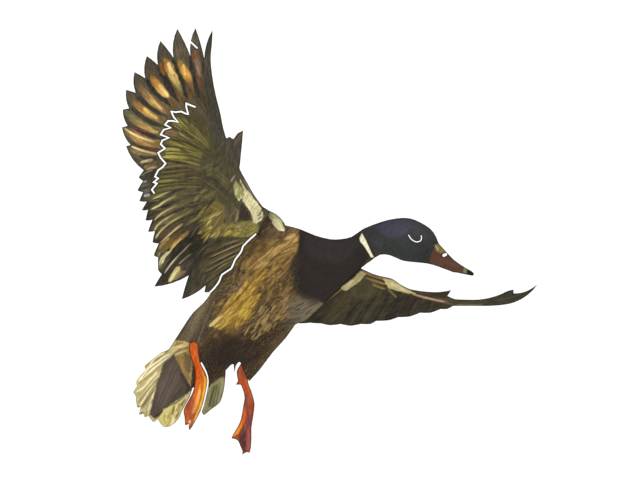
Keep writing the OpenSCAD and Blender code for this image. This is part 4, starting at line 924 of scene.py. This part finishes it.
def paint_tail(art):
    """Cream outer feathers round a dark wedge, and the pale grey-green feather under the belly."""
    tail = soft_step((-134.4 - points_x(art)) / 10) * soft_step((9.6 - art.points[:, 1]) / 10)
    under = soft_step((-35.2 - art.points[:, 1]) / 6) * (points_x(art) < -54.4)
    art.rim *= 1 - 0.6 * np.maximum(tail, under * 0.5)
    art.grain *= 1 - 0.8 * np.maximum(tail, under)
    art.patch([(-141, 26), (-115, 19), (-112, -6.5), (-115, -54), (-106, -70), (-131, -118), (-179, -110),
               (-211, -70), (-195, -6.5), (-163, 9.5)], "c4b67c", 3, 1.0)
    art.fan([(-144, 16), (-147, 6.5), (-154, -9.5), (-163, -35)],
            [(-186, -9.5), (-202, -51), (-197, -78), (-186, -96)], 26, CREAM + " ece2b4 f0e6bc", 5.5, 101,
            0.03, 2.0, 0.9, 0.2)
    streaks = [
        ([(-147, 11), (-166, -3), (-186, -16)], 1.1, "5c4c34"),
        ([(-150, 0), (-176, -19), (-194, -38)], 1.0, "84683c"),
        ([(-157, -13), (-179, -38), (-202, -56)], 1.1, "84704a"),
        ([(-163, -32), (-186, -58), (-200, -77)], 1.1, "6c5c40"),
        ([(-170, -51), (-184, -70), (-194, -86)], 1.2, "5c5240"),
        ([(-174, -67), (-182, -83), (-187, -98)], 1.3, "54493c"),
        ([(-166, -24), (-182, -42), (-198, -59)], 1.4, "ece2ac"),
        ([(-160, -6.5), (-179, -16), (-190, -32)], 1.6, "e8deb0"),
        ([(-154, 6.5), (-170, -3), (-181, -16)], 1.6, "ece0ac"),
        ([(-173, -58), (-179, -74), (-184, -90)], 1.2, "e4dab0"),
        ([(-195, -83), (-200, -82)], 2.4, "3a3630"),
        ([(-190, -90), (-195, -94)], 2.0, "4a463c"),
    ]
    for line, width, tones in streaks:
        art.stroke(line, width * WIDE, tones, 1.6, 0.8, 0.06)
    art.patch([(-138, 26), (-118, 16), (-112, -3), (-115, -32), (-118, -48), (-128, -29), (-134, -9.5),
               (-141, 3)], "8c7444", 5, 0.9)
    art.stroke([(-144, 6.5), (-134, 14.5), (-118, 17.5)], 5.4, "cfb880 e0cc90 c8b078", 2.6, 0.95)
    art.stroke([(-139, 1.5), (-128, 6.5), (-117, 9.5)], 2.4, "e8d8a8 d8c08c b09460", 2, 0.85)
    art.fan([(-138, 0), (-128, 3)], [(-128, -45), (-112, -45)], 10, "d8c088 8c7040 6c5434 b0945c", 3.8,
            103, 0.0, 2.0, 0.8)
    art.patch([(-125, 6.5), (-114, -3), (-115, -26), (-123, -16)], "66503c", 4, 0.85)
    art.patch([(-142, 3), (-157, -9.5), (-166, -38), (-174, -66), (-180, -94), (-171, -102), (-162, -94),
               (-146, -78), (-123, -64), (-112, -54), (-118, -43), (-128, -26), (-134, -9.5)], "51473f",
               3, 1.0, False)
    art.patch([(-150, -16), (-141, -9.5), (-134, -32), (-144, -54), (-160, -74), (-166, -58)], "60524a",
              8, 0.7)
    art.stroke([(-131, -26), (-118, -48), (-122, -61)], 6, "34302e", 5, 0.8)
    art.stroke([(-176, -99), (-154, -86), (-122, -64)], 2.0, "2c2824", 2, 0.9)
    art.fan([(-141, -6.5), (-122, -51)], [(-173, -90), (-147, -77)], 12, "584c44 4a413a 655850", 4.5, 104,
            0, 2.2, 0.6, 0.15)
    art.patch([(-158, -85), (-138, -77), (-118, -66), (-126, -86), (-138, -104), (-154, -112),
               (-163, -102)], "cfc27c", 2.4, 0.98)
    art.stroke([(-122, -67), (-131, -83), (-139, -102)], 4.2, "7c6c44 5c4c34 6c5c40", 3, 0.85)
    art.stroke([(-134, -77), (-144, -91), (-150, -109)], 3.0, "e8dca0 f0e8b0 dccf90", 2.4, 0.9, 0.15)
    art.cluster([(-157, -88), (-138, -77), (-125, -74), (-138, -96), (-150, -106)], 245, (14, 5), 9,
                "d8cc90 b09c60 e8dcac 8c7844", 106)
    art.stroke([(-155, -93), (-157, -102), (-154, -109)], 3, "9c9c50", 2.4, 0.7)
    art.stroke([(-118, -67), (-125, -82), (-130, -93)], 2.2, "a8b098", 2.0, 0.85)
    art.patch([(-83, -45), (-61, -34), (-58, -45), (-61, -67), (-75, -83), (-94, -96), (-96, -86),
               (-90, -70)], "86825a", 2.6, 0.98)
    art.stroke([(-72, -45), (-74, -64), (-83, -83)], 10, "4c4a34 4a4738 5c5a44", 4, 0.9, 0.15)
    art.stroke([(-64, -38), (-62, -54), (-67, -70)], 3.4, "a8a880 8c8a64 4c4a3c", 3, 0.8)
    art.stroke([(-82, -51), (-82, -67), (-88, -83)], 3.0, "8c8658 7c7a50 8c8a68", 2.4, 0.85)
    art.stroke([(-61, -67), (-74, -82), (-91, -94)], 3.0, "38362c", 2.0, 0.85)
    art.stroke([(-85, -48), (-91, -70), (-94, -86)], 2.6, "c8ccb0 c0c4a8 d0d4bc", 2.2, 0.85)
    art.fan([(-80, -46), (-64, -40)], [(-91, -86), (-70, -77)], 9, "7c7850 3f3e30 94906a 5c5a40", 3.2,
            105, 0.02, 1.8, 0.6)


def paint_far_wing(art):
    """The far wing: dark olive vanes, tawny coverts and a cream stripe along its front edge."""
    art.patch([(61, 90), (125, 138), (176, 138), (237, 106), (285, 90), (285, 61), (157, 42), (45, 42)],
              "38342a", 4, 0.9)
    art.fan([(133, 118), (163, 134), (205, 106), (253, 93), (285, 83)],
            [(61, 48), (133, 48), (186, 51), (240, 64), (282, 72)], 36,
            "34312a 3d392e 2f2c26 46412f 2a2824 3a352a", 8, 111, 0.05, 2.6, 0.8, 0.25)
    for k in range(9):
        tip = (96 + k * 19.5, 61 + 1.2 * max(0, k - 3) ** 1.35)
        root = (tip[0] * 0.72 + 62 + k * 4, tip[1] * 0.45 + 68)
        art.stroke([root, (tip[0] * 0.9 + root[0] * 0.1 + 2, tip[1] + 9), tip], 2.2, "26241f", 2, 0.6,
                   -0.08)
    art.patch([(150, 122), (173, 122), (186, 106), (170, 90), (144, 96)], "4b462f", 7, 0.7)
    art.patch([(93, 96), (128, 112), (144, 90), (109, 70), (80, 64)], "443d2e", 9, 0.6)
    art.stroke([(83, 70), (110, 93), (134, 112)], 2.2, "4c4434 7c6c48 a89868", 2.0, 0.85)
    art.patch([(128, 109), (144, 122), (158, 136), (166, 131), (154, 118), (134, 104)], "b9aa7a", 2.0,
              0.98)
    art.stroke([(126, 107), (138, 115), (147, 122)], 5, "d0c08c dccf9c cfc08c", 2.4, 0.9)
    art.stroke([(144, 115), (154, 123), (162, 131)], 2.2, "8c7c54", 2, 0.6)
    art.stroke([(158, 138), (179, 128), (205, 123), (227, 112)], 5.2, "86694c 80623c 94804c 6c5c40", 2.4,
               0.95, 0.15)
    art.stroke([(160, 130), (173, 122), (189, 112), (202, 106)], 2.2, "4c3f2c 6c5a38 5c4f34", 2.2, 0.85)
    art.stroke([(163, 126), (182, 120), (198, 114)], 2.8, "5c4c34 8c7844 a08c54", 2.4, 0.85)
    art.patch([(195, 123), (213, 120), (229, 110), (248, 98), (229, 102), (202, 110)], "c4b480", 2.4,
              0.95)
    art.stroke([(205, 117), (218, 110), (230, 104)], 2.6, "e0d4a4", 2, 0.7)
    art.stroke([(202, 107), (208, 101), (216, 93)], 3.0, "7c7448", 3, 0.8)
    art.stroke([(176, 115), (189, 109), (198, 107)], 2, "a08c54", 2.4, 0.7)
    art.stroke([(224, 112), (250, 104), (275, 99), (298, 101)], 5.5, "5c5240 4c4234 3d372d 34302b", 2.6,
               0.9, 0.2)
    art.stroke([(240, 99), (259, 94), (285, 88), (310, 82)], 3.4, "94805c b8987c a88c74 8c7c5c", 2.0,
               0.92, 0.1)
    art.stroke([(269, 94), (291, 91), (314, 88)], 3.2, "4c3c2c 5a4634 4c4032", 2.2, 0.85)
    art.stroke([(285, 85), (317, 85), (365, 86), (400, 94), (429, 106)], [5, 6, 7, 6, 2],
               "4c4032 48442f 443f36 3a3733 302e2b", 2.4, 0.85, 0.2)
    art.stroke([(310, 82), (333, 81), (355, 82)], 2.0, "8c8054 a0925c 6c6448", 1.8, 0.8)
    art.stroke([(333, 90), (362, 93), (390, 101)], 2.0, "5c554c 6c675c 4c4843", 2, 0.7, 0.12)
    art.stroke([(374, 88), (400, 94), (422, 104)], 1.8, "55524b", 2, 0.6)
    art.speckle(1.0, "211f1a", "5f5840", 2.6, 20, 0.25, 113, 3)
    art.grain += 0.12


def paint_near_leg(art):
    """Orange leg: rust red at the thigh, yellow along the lower right edge, plum on the left toe."""
    art.stroke([(-112, 22), (-112, 3), (-106, -19), (-98, -38)], [15, 16, 16, 14],
               "b85a2c cc5a22 c4501e b84e1e", 3, 1.0, 0.25)
    art.stroke([(-107, 6.5), (-99, -16), (-94, -32)], 3, "d87a4a d86a34 d87a3c", 3, 0.6, 0.1)
    art.stroke([(-101, -35), (-102, -58), (-109, -80), (-117, -102)], [16, 16, 13, 8],
               "cc5c20 c8682c b45c38 9c5040", 3, 1.0, 0.25)
    art.stroke([(-96, -26), (-90, -42), (-94, -67), (-104, -93), (-112, -115)], [3, 6, 6, 4.4, 2.4],
               "e08028 f4b838 f2b840 eeb044 d8c098", 2.4, 0.95, 0.15)
    art.stroke([(-99, -45), (-102, -67), (-107, -86)], 4, "f0963c ec9c40 d88a48", 3, 0.85)
    art.stroke([(-106, -51), (-114, -70), (-120, -90)], 3, "b05a44 9c4c44 8c4444", 2.6, 0.75)
    art.stroke([(-96, -61), (-102, -83), (-110, -102)], 1.4, "5c3424", 1.6, 0.7)
    art.stroke([(-115, -102), (-117, -112)], 3, "e8dccc", 1.8, 0.7)
    art.speckle(1.0, "6c2c14", "f0a050", 2.2, 75, 0.28, 121, 2.5)
    art.stroke([(-99, -51), (-104, -74), (-112, -94)], 5, "f4a850 f6b860 e0a060", 3, 0.6)


def paint_far_leg(art):
    """The far leg: brick red with a plum shadow, an orange toe, a maroon toe and a dark web."""
    art.stroke([(-30, -16), (-32, -32), (-26, -48), (-21, -67), (-19, -86)], [9, 14, 13, 15, 15],
               "7c3c2c a04a30 b04c26 9c4a2e 8c4a38", 3, 1.0, 0.25)
    art.stroke([(-27, -35), (-24, -45), (-17.5, -61), (-14.5, -77)], 4.4, "d87038 cc642c b4643c a8603c",
               3, 0.8, 0.1)
    art.stroke([(-38, -38), (-35, -26), (-30, -16)], 3.4, "b45a48 a45444 7c4438", 2.6, 0.8)
    art.stroke([(-26, -58), (-26, -77), (-29, -96)], 5, "6c3c3c 7c4448 9c5034", 3.4, 0.7)
    art.stroke([(-21, -86), (-22, -112), (-22, -134), (-21, -154)], [13, 12, 12, 10],
               "84423c 804240 9c544c a45c54", 2.6, 1.0, 0.2)
    art.stroke([(-30, -83), (-32, -99), (-38, -115), (-45, -128)], [9, 11, 11, 8],
               "b8542c c85c24 e08028 ec8c2c", 2.6, 1.0, 0.2)
    art.stroke([(-38, -109), (-43, -122), (-46, -130)], 4, "e88c38 f09a38 f0a850", 2.4, 0.8)
    art.patch([(-30, -109), (-26, -122), (-26, -144), (-30, -150), (-38, -134), (-35, -122)], "4a3434", 3,
              0.9)
    art.stroke([(-24, -109), (-26, -131), (-24, -150)], 2, "5c3032", 2, 0.7)
    art.stroke([(-32, -149), (-22, -155)], 2.4, "35282a", 2, 0.8)
    art.speckle(1.0, "541f18", "e08050", 2.2, 80, 0.25, 131, 2.5)


# ---------------------------------------------------------------- materials


class Shader:
    """A material's node tree, built a node at a time."""

    def __init__(self, name):
        self.material = bpy.data.materials.new(name)
        self.material.use_nodes = True
        self.tree = self.material.node_tree
        self.surface = self.tree.nodes["Principled BSDF"]

    def add(self, kind, links=None, **values):
        """Adds a node, sets its values and links its inputs by name."""
        node = self.tree.nodes.new("ShaderNode" + kind)
        for key, value in values.items():
            setattr(node, key, value)
        for key, source in (links or {}).items():
            if isinstance(source, bpy.types.NodeSocket):
                self.tree.links.new(source, node.inputs[key])
            else:
                node.inputs[key].default_value = source
        return node

    def set(self, **values):
        """Sets or links the surface's inputs."""
        for key, source in values.items():
            target = self.surface.inputs[key.replace("_", " ")]
            if isinstance(source, bpy.types.NodeSocket):
                self.tree.links.new(source, target)
            else:
                target.default_value = source

    def mapped(self, scale):
        """Object coordinates stretched by three scales."""
        place = self.add("TexCoord").outputs["Object"]
        return self.add("Mapping", {"Vector": place, "Scale": scale}).outputs["Vector"]

    def grain(self, scale, detail=4.0, vector=None):
        """A noise value at a scale, counted per metre."""
        if vector is None:
            vector = self.add("TexCoord").outputs["Object"]
        node = self.add("TexNoise", {"Vector": vector, "Scale": scale, "Detail": detail})
        return node.outputs["Fac"]

    def span(self, value, low, high):
        """Maps 0 to 1 on to low to high."""
        node = self.add("MapRange", {"Value": value, "To Min": low, "To Max": high})
        return node.outputs["Result"]

    def contrast(self, value, low, high):
        """Maps low to high on to 0 to 1."""
        return self.add("MapRange", {"Value": value, "From Min": low, "From Max": high}).outputs["Result"]

    def sums(self, operation, a, b=0.0):
        """One arithmetic step."""
        node = self.add("Math", operation=operation)
        for socket, source in zip(node.inputs, (a, b)):
            if isinstance(source, bpy.types.NodeSocket):
                self.tree.links.new(source, socket)
            else:
                socket.default_value = source
        return node.outputs[0]

    def mix(self, share, a, b, mode="MIX"):
        """Mixes two colours."""
        node = self.add("Mix", data_type="RGBA", blend_type=mode)
        for socket, source in zip((node.inputs[0], node.inputs[6], node.inputs[7]), (share, a, b)):
            if isinstance(source, bpy.types.NodeSocket):
                self.tree.links.new(source, socket)
            else:
                socket.default_value = source
        return node.outputs[2]

    def bump(self, height, strength, distance):
        """A bumped surface normal."""
        node = self.add("Bump", {"Height": height, "Strength": strength, "Distance": distance})
        return node.outputs["Normal"]

    def worn_edge(self, low=0.52, high=0.6):
        """1 on outer edges, 0 elsewhere."""
        point = self.add("NewGeometry").outputs["Pointiness"]
        node = self.add("MapRange", {"Value": point, "From Min": low, "From Max": high})
        return node.outputs["Result"]


def printed_skin(name, gloss=0.5, barb_pitch=1.25, barbs=0.12, streaks=0.3):
    """The satin print: the painted tint with streaks, fine barbs, speckles and a patchy sheen."""
    s = Shader(name)
    tint = s.add("Attribute", attribute_name="tint").outputs["Color"]
    vane = s.add("Attribute", attribute_name="vane").outputs["Vector"]
    grain = s.add("Attribute", attribute_name="grain").outputs["Fac"]
    part = s.add("SeparateXYZ", {"Vector": vane}).outputs
    slope = s.sums("ADD", part["X"], s.sums("MULTIPLY", s.sums("ABSOLUTE", part["Y"]), 1.15))
    wave = s.sums("SINE", s.sums("MULTIPLY", slope, 2 * math.pi / barb_pitch))
    drawn = s.add("Mapping", {"Vector": vane, "Scale": (0.075, 0.62, 3.1)}).outputs["Vector"]
    streak = s.contrast(s.grain(1.0, 3, drawn), 0.34, 0.66)
    ink = s.grain(1100, 3)
    cloud = s.grain(55, 3)
    light = s.sums("ADD", s.span(wave, 1 - barbs / 2, 1 + barbs / 2), s.span(ink, -0.08, 0.08))
    light = s.sums("ADD", light, s.span(streak, -streaks, streaks * 1.1))
    light = s.sums("ADD", light, s.span(cloud, -0.06, 0.06))
    level = s.add("CombineColor", {"Red": light, "Green": light, "Blue": light}).outputs[0]
    colour = s.mix(1.0, tint, level, "MULTIPLY")
    fine = s.add("Mapping", {"Vector": vane, "Scale": (0.3, 0.62, 1.7)}).outputs["Vector"]
    broken = s.add("Mapping", {"Vector": vane, "Scale": (0.62, 0.5, 4.3)}).outputs["Vector"]
    pit = s.contrast(s.grain(1.0, 3, fine), 0.5, 0.7)
    speck = s.contrast(s.grain(1.0, 2, broken), 0.54, 0.76)
    colour = s.mix(s.sums("MULTIPLY", pit, s.sums("MULTIPLY", grain, 0.62)), colour, rgba("201a14"))
    colour = s.mix(s.sums("MULTIPLY", speck, s.sums("MULTIPLY", grain, 0.42)), colour, rgba("a98a5c"))
    s.set(Base_Color=colour)
    s.set(Roughness=s.sums("ADD", s.span(cloud, gloss - 0.08, gloss + 0.1), s.span(ink, -0.05, 0.05)))
    height = s.sums("ADD", s.span(wave, 0.0, 0.5), s.sums("MULTIPLY", streak, 0.8))
    s.set(Normal=s.bump(height, 0.3, 0.00018), Specular_IOR_Level=0.1)
    return s.material


def sheet_edge(name, code):
    """The dark cut sheet under the print, with saw marks and lighter rubbed edges."""
    s = Shader(name)
    saw = s.grain(1.0, 4, s.mapped((700, 90, 700)))
    cloud = s.grain(60, 3)
    base = s.mix(s.span(saw, 0.0, 0.5), rgba(code), rgba("57534a"))
    base = s.mix(s.sums("MULTIPLY", s.worn_edge(), 0.5), base, rgba("8a8578"))
    s.set(Base_Color=base, Roughness=s.span(cloud, 0.42, 0.62), Specular_IOR_Level=0.4)
    s.set(Normal=s.bump(saw, 0.3, 0.0001))
    return s.material


def moulded(name, code, worn, rough=0.5, grain_scale=1500, grain_depth=0.00012):
    """Moulded plastic: a fine leathery grain, faint flow clouds and rubbed edges."""
    s = Shader(name)
    pits = s.grain(grain_scale, 2)
    cloud = s.grain(24, 4)
    scuff = s.grain(1.0, 5, s.mapped((260, 260, 30)))
    base = s.mix(s.span(cloud, 0.0, 0.35), rgba(code), rgba(worn))
    base = s.mix(s.sums("MULTIPLY", s.worn_edge(), 0.7), base, rgba(worn))
    base = s.mix(s.span(scuff, -0.12, 0.2), base, rgba(worn))
    s.set(Base_Color=base, Roughness=s.sums("ADD", s.span(cloud, rough - 0.08, rough + 0.08),
                                            s.span(pits, -0.05, 0.05)))
    s.set(Specular_IOR_Level=0.42, Normal=s.bump(s.sums("ADD", pits, s.sums("MULTIPLY", scuff, 0.4)), 0.4,
                                                 grain_depth))
    return s.material


def plated(name, code, dull, rough=0.3, stretch=(900, 900, 60), tarnish=0.3):
    """Plated or drawn metal: fine drawing lines, patchy tarnish and bright rubbed edges."""
    s = Shader(name)
    lines = s.grain(1.0, 3, s.mapped(stretch))
    cloud = s.grain(90, 4)
    base = s.mix(s.span(cloud, 0.0, tarnish * 2), rgba(code), rgba(dull))
    base = s.mix(s.sums("MULTIPLY", s.worn_edge(), 0.6), base, rgba("e6e6e2"))
    s.set(Base_Color=base, Metallic=0.92)
    s.set(Roughness=s.sums("ADD", s.span(cloud, rough - 0.08, rough + 0.14), s.span(lines, -0.07, 0.07)))
    s.set(Normal=s.bump(lines, 0.18, 0.00006))
    return s.material


def rubber(name, code, dusty):
    """Soft rubber: matt, dusty in patches, with a faint moulded texture."""
    s = Shader(name)
    pits = s.grain(2200, 2)
    cloud = s.grain(70, 4)
    base = s.mix(s.span(cloud, 0.0, 0.4), rgba(code), rgba(dusty))
    s.set(Base_Color=base, Roughness=s.span(cloud, 0.66, 0.86), Specular_IOR_Level=0.25)
    s.set(Normal=s.bump(pits, 0.3, 0.00008), Sheen_Weight=0.15)
    return s.material


def circuit_board(name):
    """Green board: solder mask over a faint grid of tracks."""
    s = Shader(name)
    tracks = s.add("TexBrick", {"Vector": s.mapped((260, 260, 260)), "Scale": 1.0, "Mortar Size": 0.06,
                                "Color1": rgba("1c4a2c"), "Color2": rgba("22573a"),
                                "Mortar": rgba("2f7a4c")})
    weave = s.grain(1800, 2)
    base = s.mix(s.span(weave, 0.0, 0.3), tracks.outputs["Color"], rgba("123420"))
    s.set(Base_Color=base, Roughness=s.span(weave, 0.28, 0.42))
    s.set(Normal=s.bump(tracks.outputs["Fac"], 0.3, 0.00008))
    return s.material


def cell_wrap(name):
    """Battery sleeve: a dark glossy wrap with fine wrinkles."""
    s = Shader(name)
    wrinkle = s.grain(1.0, 4, s.mapped((300, 300, 80)))
    cloud = s.grain(40, 3)
    base = s.mix(s.span(cloud, 0.0, 0.5), rgba("2a2c30"), rgba("44474c"))
    s.set(Base_Color=base, Roughness=s.span(wrinkle, 0.22, 0.4), Coat_Weight=0.4, Coat_Roughness=0.2)
    s.set(Normal=s.bump(wrinkle, 0.25, 0.00015))
    return s.material


def plain_stage(name, code, rough):
    """The pale studio floor, with a barely visible tone. It can be seen through from behind."""
    s = Shader(name)
    cloud = s.grain(3, 2)
    s.set(Base_Color=s.mix(s.span(cloud, 0.0, 0.25), rgba(code), rgba("f6f6f4")), Roughness=rough)
    s.set(Emission_Color=rgba("ffffff"), Emission_Strength=0.1)
    clear = s.add("BsdfTransparent")
    back = s.add("NewGeometry").outputs["Backfacing"]
    pick = s.add("MixShader", {0: back, 1: s.surface.outputs[0], 2: clear.outputs[0]})
    s.tree.links.new(pick.outputs[0], s.tree.nodes["Material Output"].inputs["Surface"])
    return s.material


def make_finishes():
    """One material for each of the record's material slots."""
    return {
        "printed_body": sheet_edge("body_sheet", "2b2925"),
        "printed_wing": sheet_edge("wing_sheet", "2c2a25"),
        "printed_far_wing": sheet_edge("far_wing_sheet", "292823"),
        "printed_leg": sheet_edge("leg_sheet", "3a1f16"),
        "olive_plastic": moulded("olive_plastic", "4a4a3a", "77765f", 0.5),
        "black_plastic": moulded("black_plastic", "1f2022", "4c4e50", 0.45),
        "black_rubber": rubber("black_rubber", "17181a", "34353a"),
        "red_rubber": rubber("red_rubber", "8c2620", "a84a3c"),
        "board_green": circuit_board("board_green"),
        "nylon": moulded("nylon", "ddd8c6", "f0ece0", 0.42, 900, 0.00005),
        "brass": plated("brass", "b08d4a", "6c5430", 0.3),
        "cell_wrap": cell_wrap("cell_wrap"),
        "bright_sheet": plated("bright_sheet", "b4b6b4", "77797a", 0.34, (60, 900, 900)),
        "dark_steel": plated("dark_steel", "54575a", "303234", 0.38),
        "zinc_steel": plated("zinc_steel", "adb0ae", "7c807c", 0.32),
    }


def dress_nodes(finishes):
    """Gives each carried-over CAD node its own slot's material."""
    for part in frame["record"]["subparts"]:
        obj = NODES[part["node"]]
        kind = part["material_slot"]
        obj.data.materials.clear()
        obj.data.materials.append(finishes[kind])


# ---------------------------------------------------------------- stage, light and camera


def mesh_object(name, points, faces, smooth=False):
    """A mesh object from millimetre points."""
    mesh = bpy.data.meshes.new(name)
    mesh.from_pydata((np.array(points, float) * MM).tolist(), [], faces)
    mesh.update()
    if smooth:
        mesh.polygons.foreach_set("use_smooth", [True] * len(mesh.polygons))
    obj = bpy.data.objects.new(name, mesh)
    bpy.context.scene.collection.objects.link(obj)
    return obj


def make_stage():
    """A pale floor that sweeps up behind the decoy."""
    gap_below, bend_steps = 60, 24
    floor = CAD_LOW.z / MM - gap_below
    turn, back, front, side, top = 900, 1500, -9000, 7000, 5200
    line = [(front, floor), (back - turn, floor)]
    for k in range(1, bend_steps + 1):
        a = math.radians(90 * k / bend_steps)
        line.append((back - turn + turn * math.sin(a), floor + turn * (1 - math.cos(a))))
    line.append((back, floor + top))
    points = [(x, y, z) for y, z in line for x in (-side, side)]
    faces = [(2 * k, 2 * k + 1, 2 * k + 3, 2 * k + 2) for k in range(len(line) - 1)]
    sweep = mesh_object("studio_sweep", points, faces, True)
    sweep.data.materials.append(plain_stage("studio_paper", "fbfbfa", 0.9))


def area_light(name, place, target, size, power):
    """A soft square light that faces a point. Places are in metres."""
    lamp = bpy.data.lights.new(name, "AREA")
    lamp.shape = "RECTANGLE"
    lamp.size = size
    lamp.size_y = size
    lamp.energy = power
    obj = bpy.data.objects.new(name, lamp)
    obj.location = place
    obj.rotation_euler = (Vector(target) - Vector(place)).to_track_quat("-Z", "Y").to_euler()
    bpy.context.scene.collection.objects.link(obj)


def make_light():
    """White surroundings with two large lights in front and a weaker one behind."""
    world = bpy.data.worlds.new("studio")
    bpy.context.scene.world = world
    world.use_nodes = True
    glow = world.node_tree.nodes["Background"]
    glow.inputs["Color"].default_value = (1.0, 1.0, 1.0, 1.0)
    glow.inputs["Strength"].default_value = 0.78
    middle = tuple((CAD_LOW + CAD_HIGH) / 2)
    area_light("key", (-1.3, -2.6, 2.0), middle, 2.2, 34)
    area_light("fill", (2.4, -2.2, 0.9), middle, 2.4, 16)
    area_light("behind", (0.8, 2.2, 1.6), middle, 1.8, 14)
    bpy.context.scene.view_settings.view_transform = "Standard"
    bpy.context.scene.view_settings.look = "None"


def make_camera():
    """A long lens square on to the printed faces, framed as a 4 by 3 picture."""
    width, distance, sensor = 1.024, 7.0, 36.0
    across, up, printed_face = 0.0928, 0.1856, -0.018
    data = bpy.data.cameras.new("camera")
    data.sensor_width = sensor
    data.lens = sensor * distance / width
    data.clip_end = 60
    obj = bpy.data.objects.new("camera", data)
    obj.location = (across, printed_face - distance, up)
    obj.rotation_euler = (math.pi / 2, 0, 0)
    bpy.context.scene.collection.objects.link(obj)
    bpy.context.scene.camera = obj


# ---------------------------------------------------------------- the whole scene


def make_skins():
    """The front and back prints of the five sheets."""
    body_ink = printed_skin("body_print", streaks=0.2)
    wing_ink = printed_skin("wing_print", 0.46, 1.3, 0.14, 0.36)
    far_ink = printed_skin("far_wing_print", 0.46, 1.3, 0.12, 0.2)
    leg_ink = printed_skin("leg_print", 0.5, 1.6, 0.06, 0.2)
    sheets = [
        ("body_panel", "frame", paint_body, "4a3c2c", 48, "printed_body", body_ink),
        ("near_wing_panel", "near_wing", paint_near_wing, "4a453a", 65, "printed_wing", wing_ink),
        ("far_wing_panel", "far_wing", paint_far_wing, "3b382c", -15, "printed_far_wing", far_ink),
        ("near_leg", "frame", paint_near_leg, "b0501f", 80, "printed_leg", leg_ink),
        ("far_leg", "frame", paint_far_leg, "9a4528", 85, "printed_leg", leg_ink),
    ]
    for node, body, paint, ground, angle, slot, ink in sheets:
        skin(node, body, True, paint, ground, angle, STEP, slot, ink)
        skin(node, body, False, paint, ground, angle, BACK_STEP, slot, ink, BACK_RELIEF)


make_skins()
dress_nodes(make_finishes())
make_stage()
make_light()
make_camera()
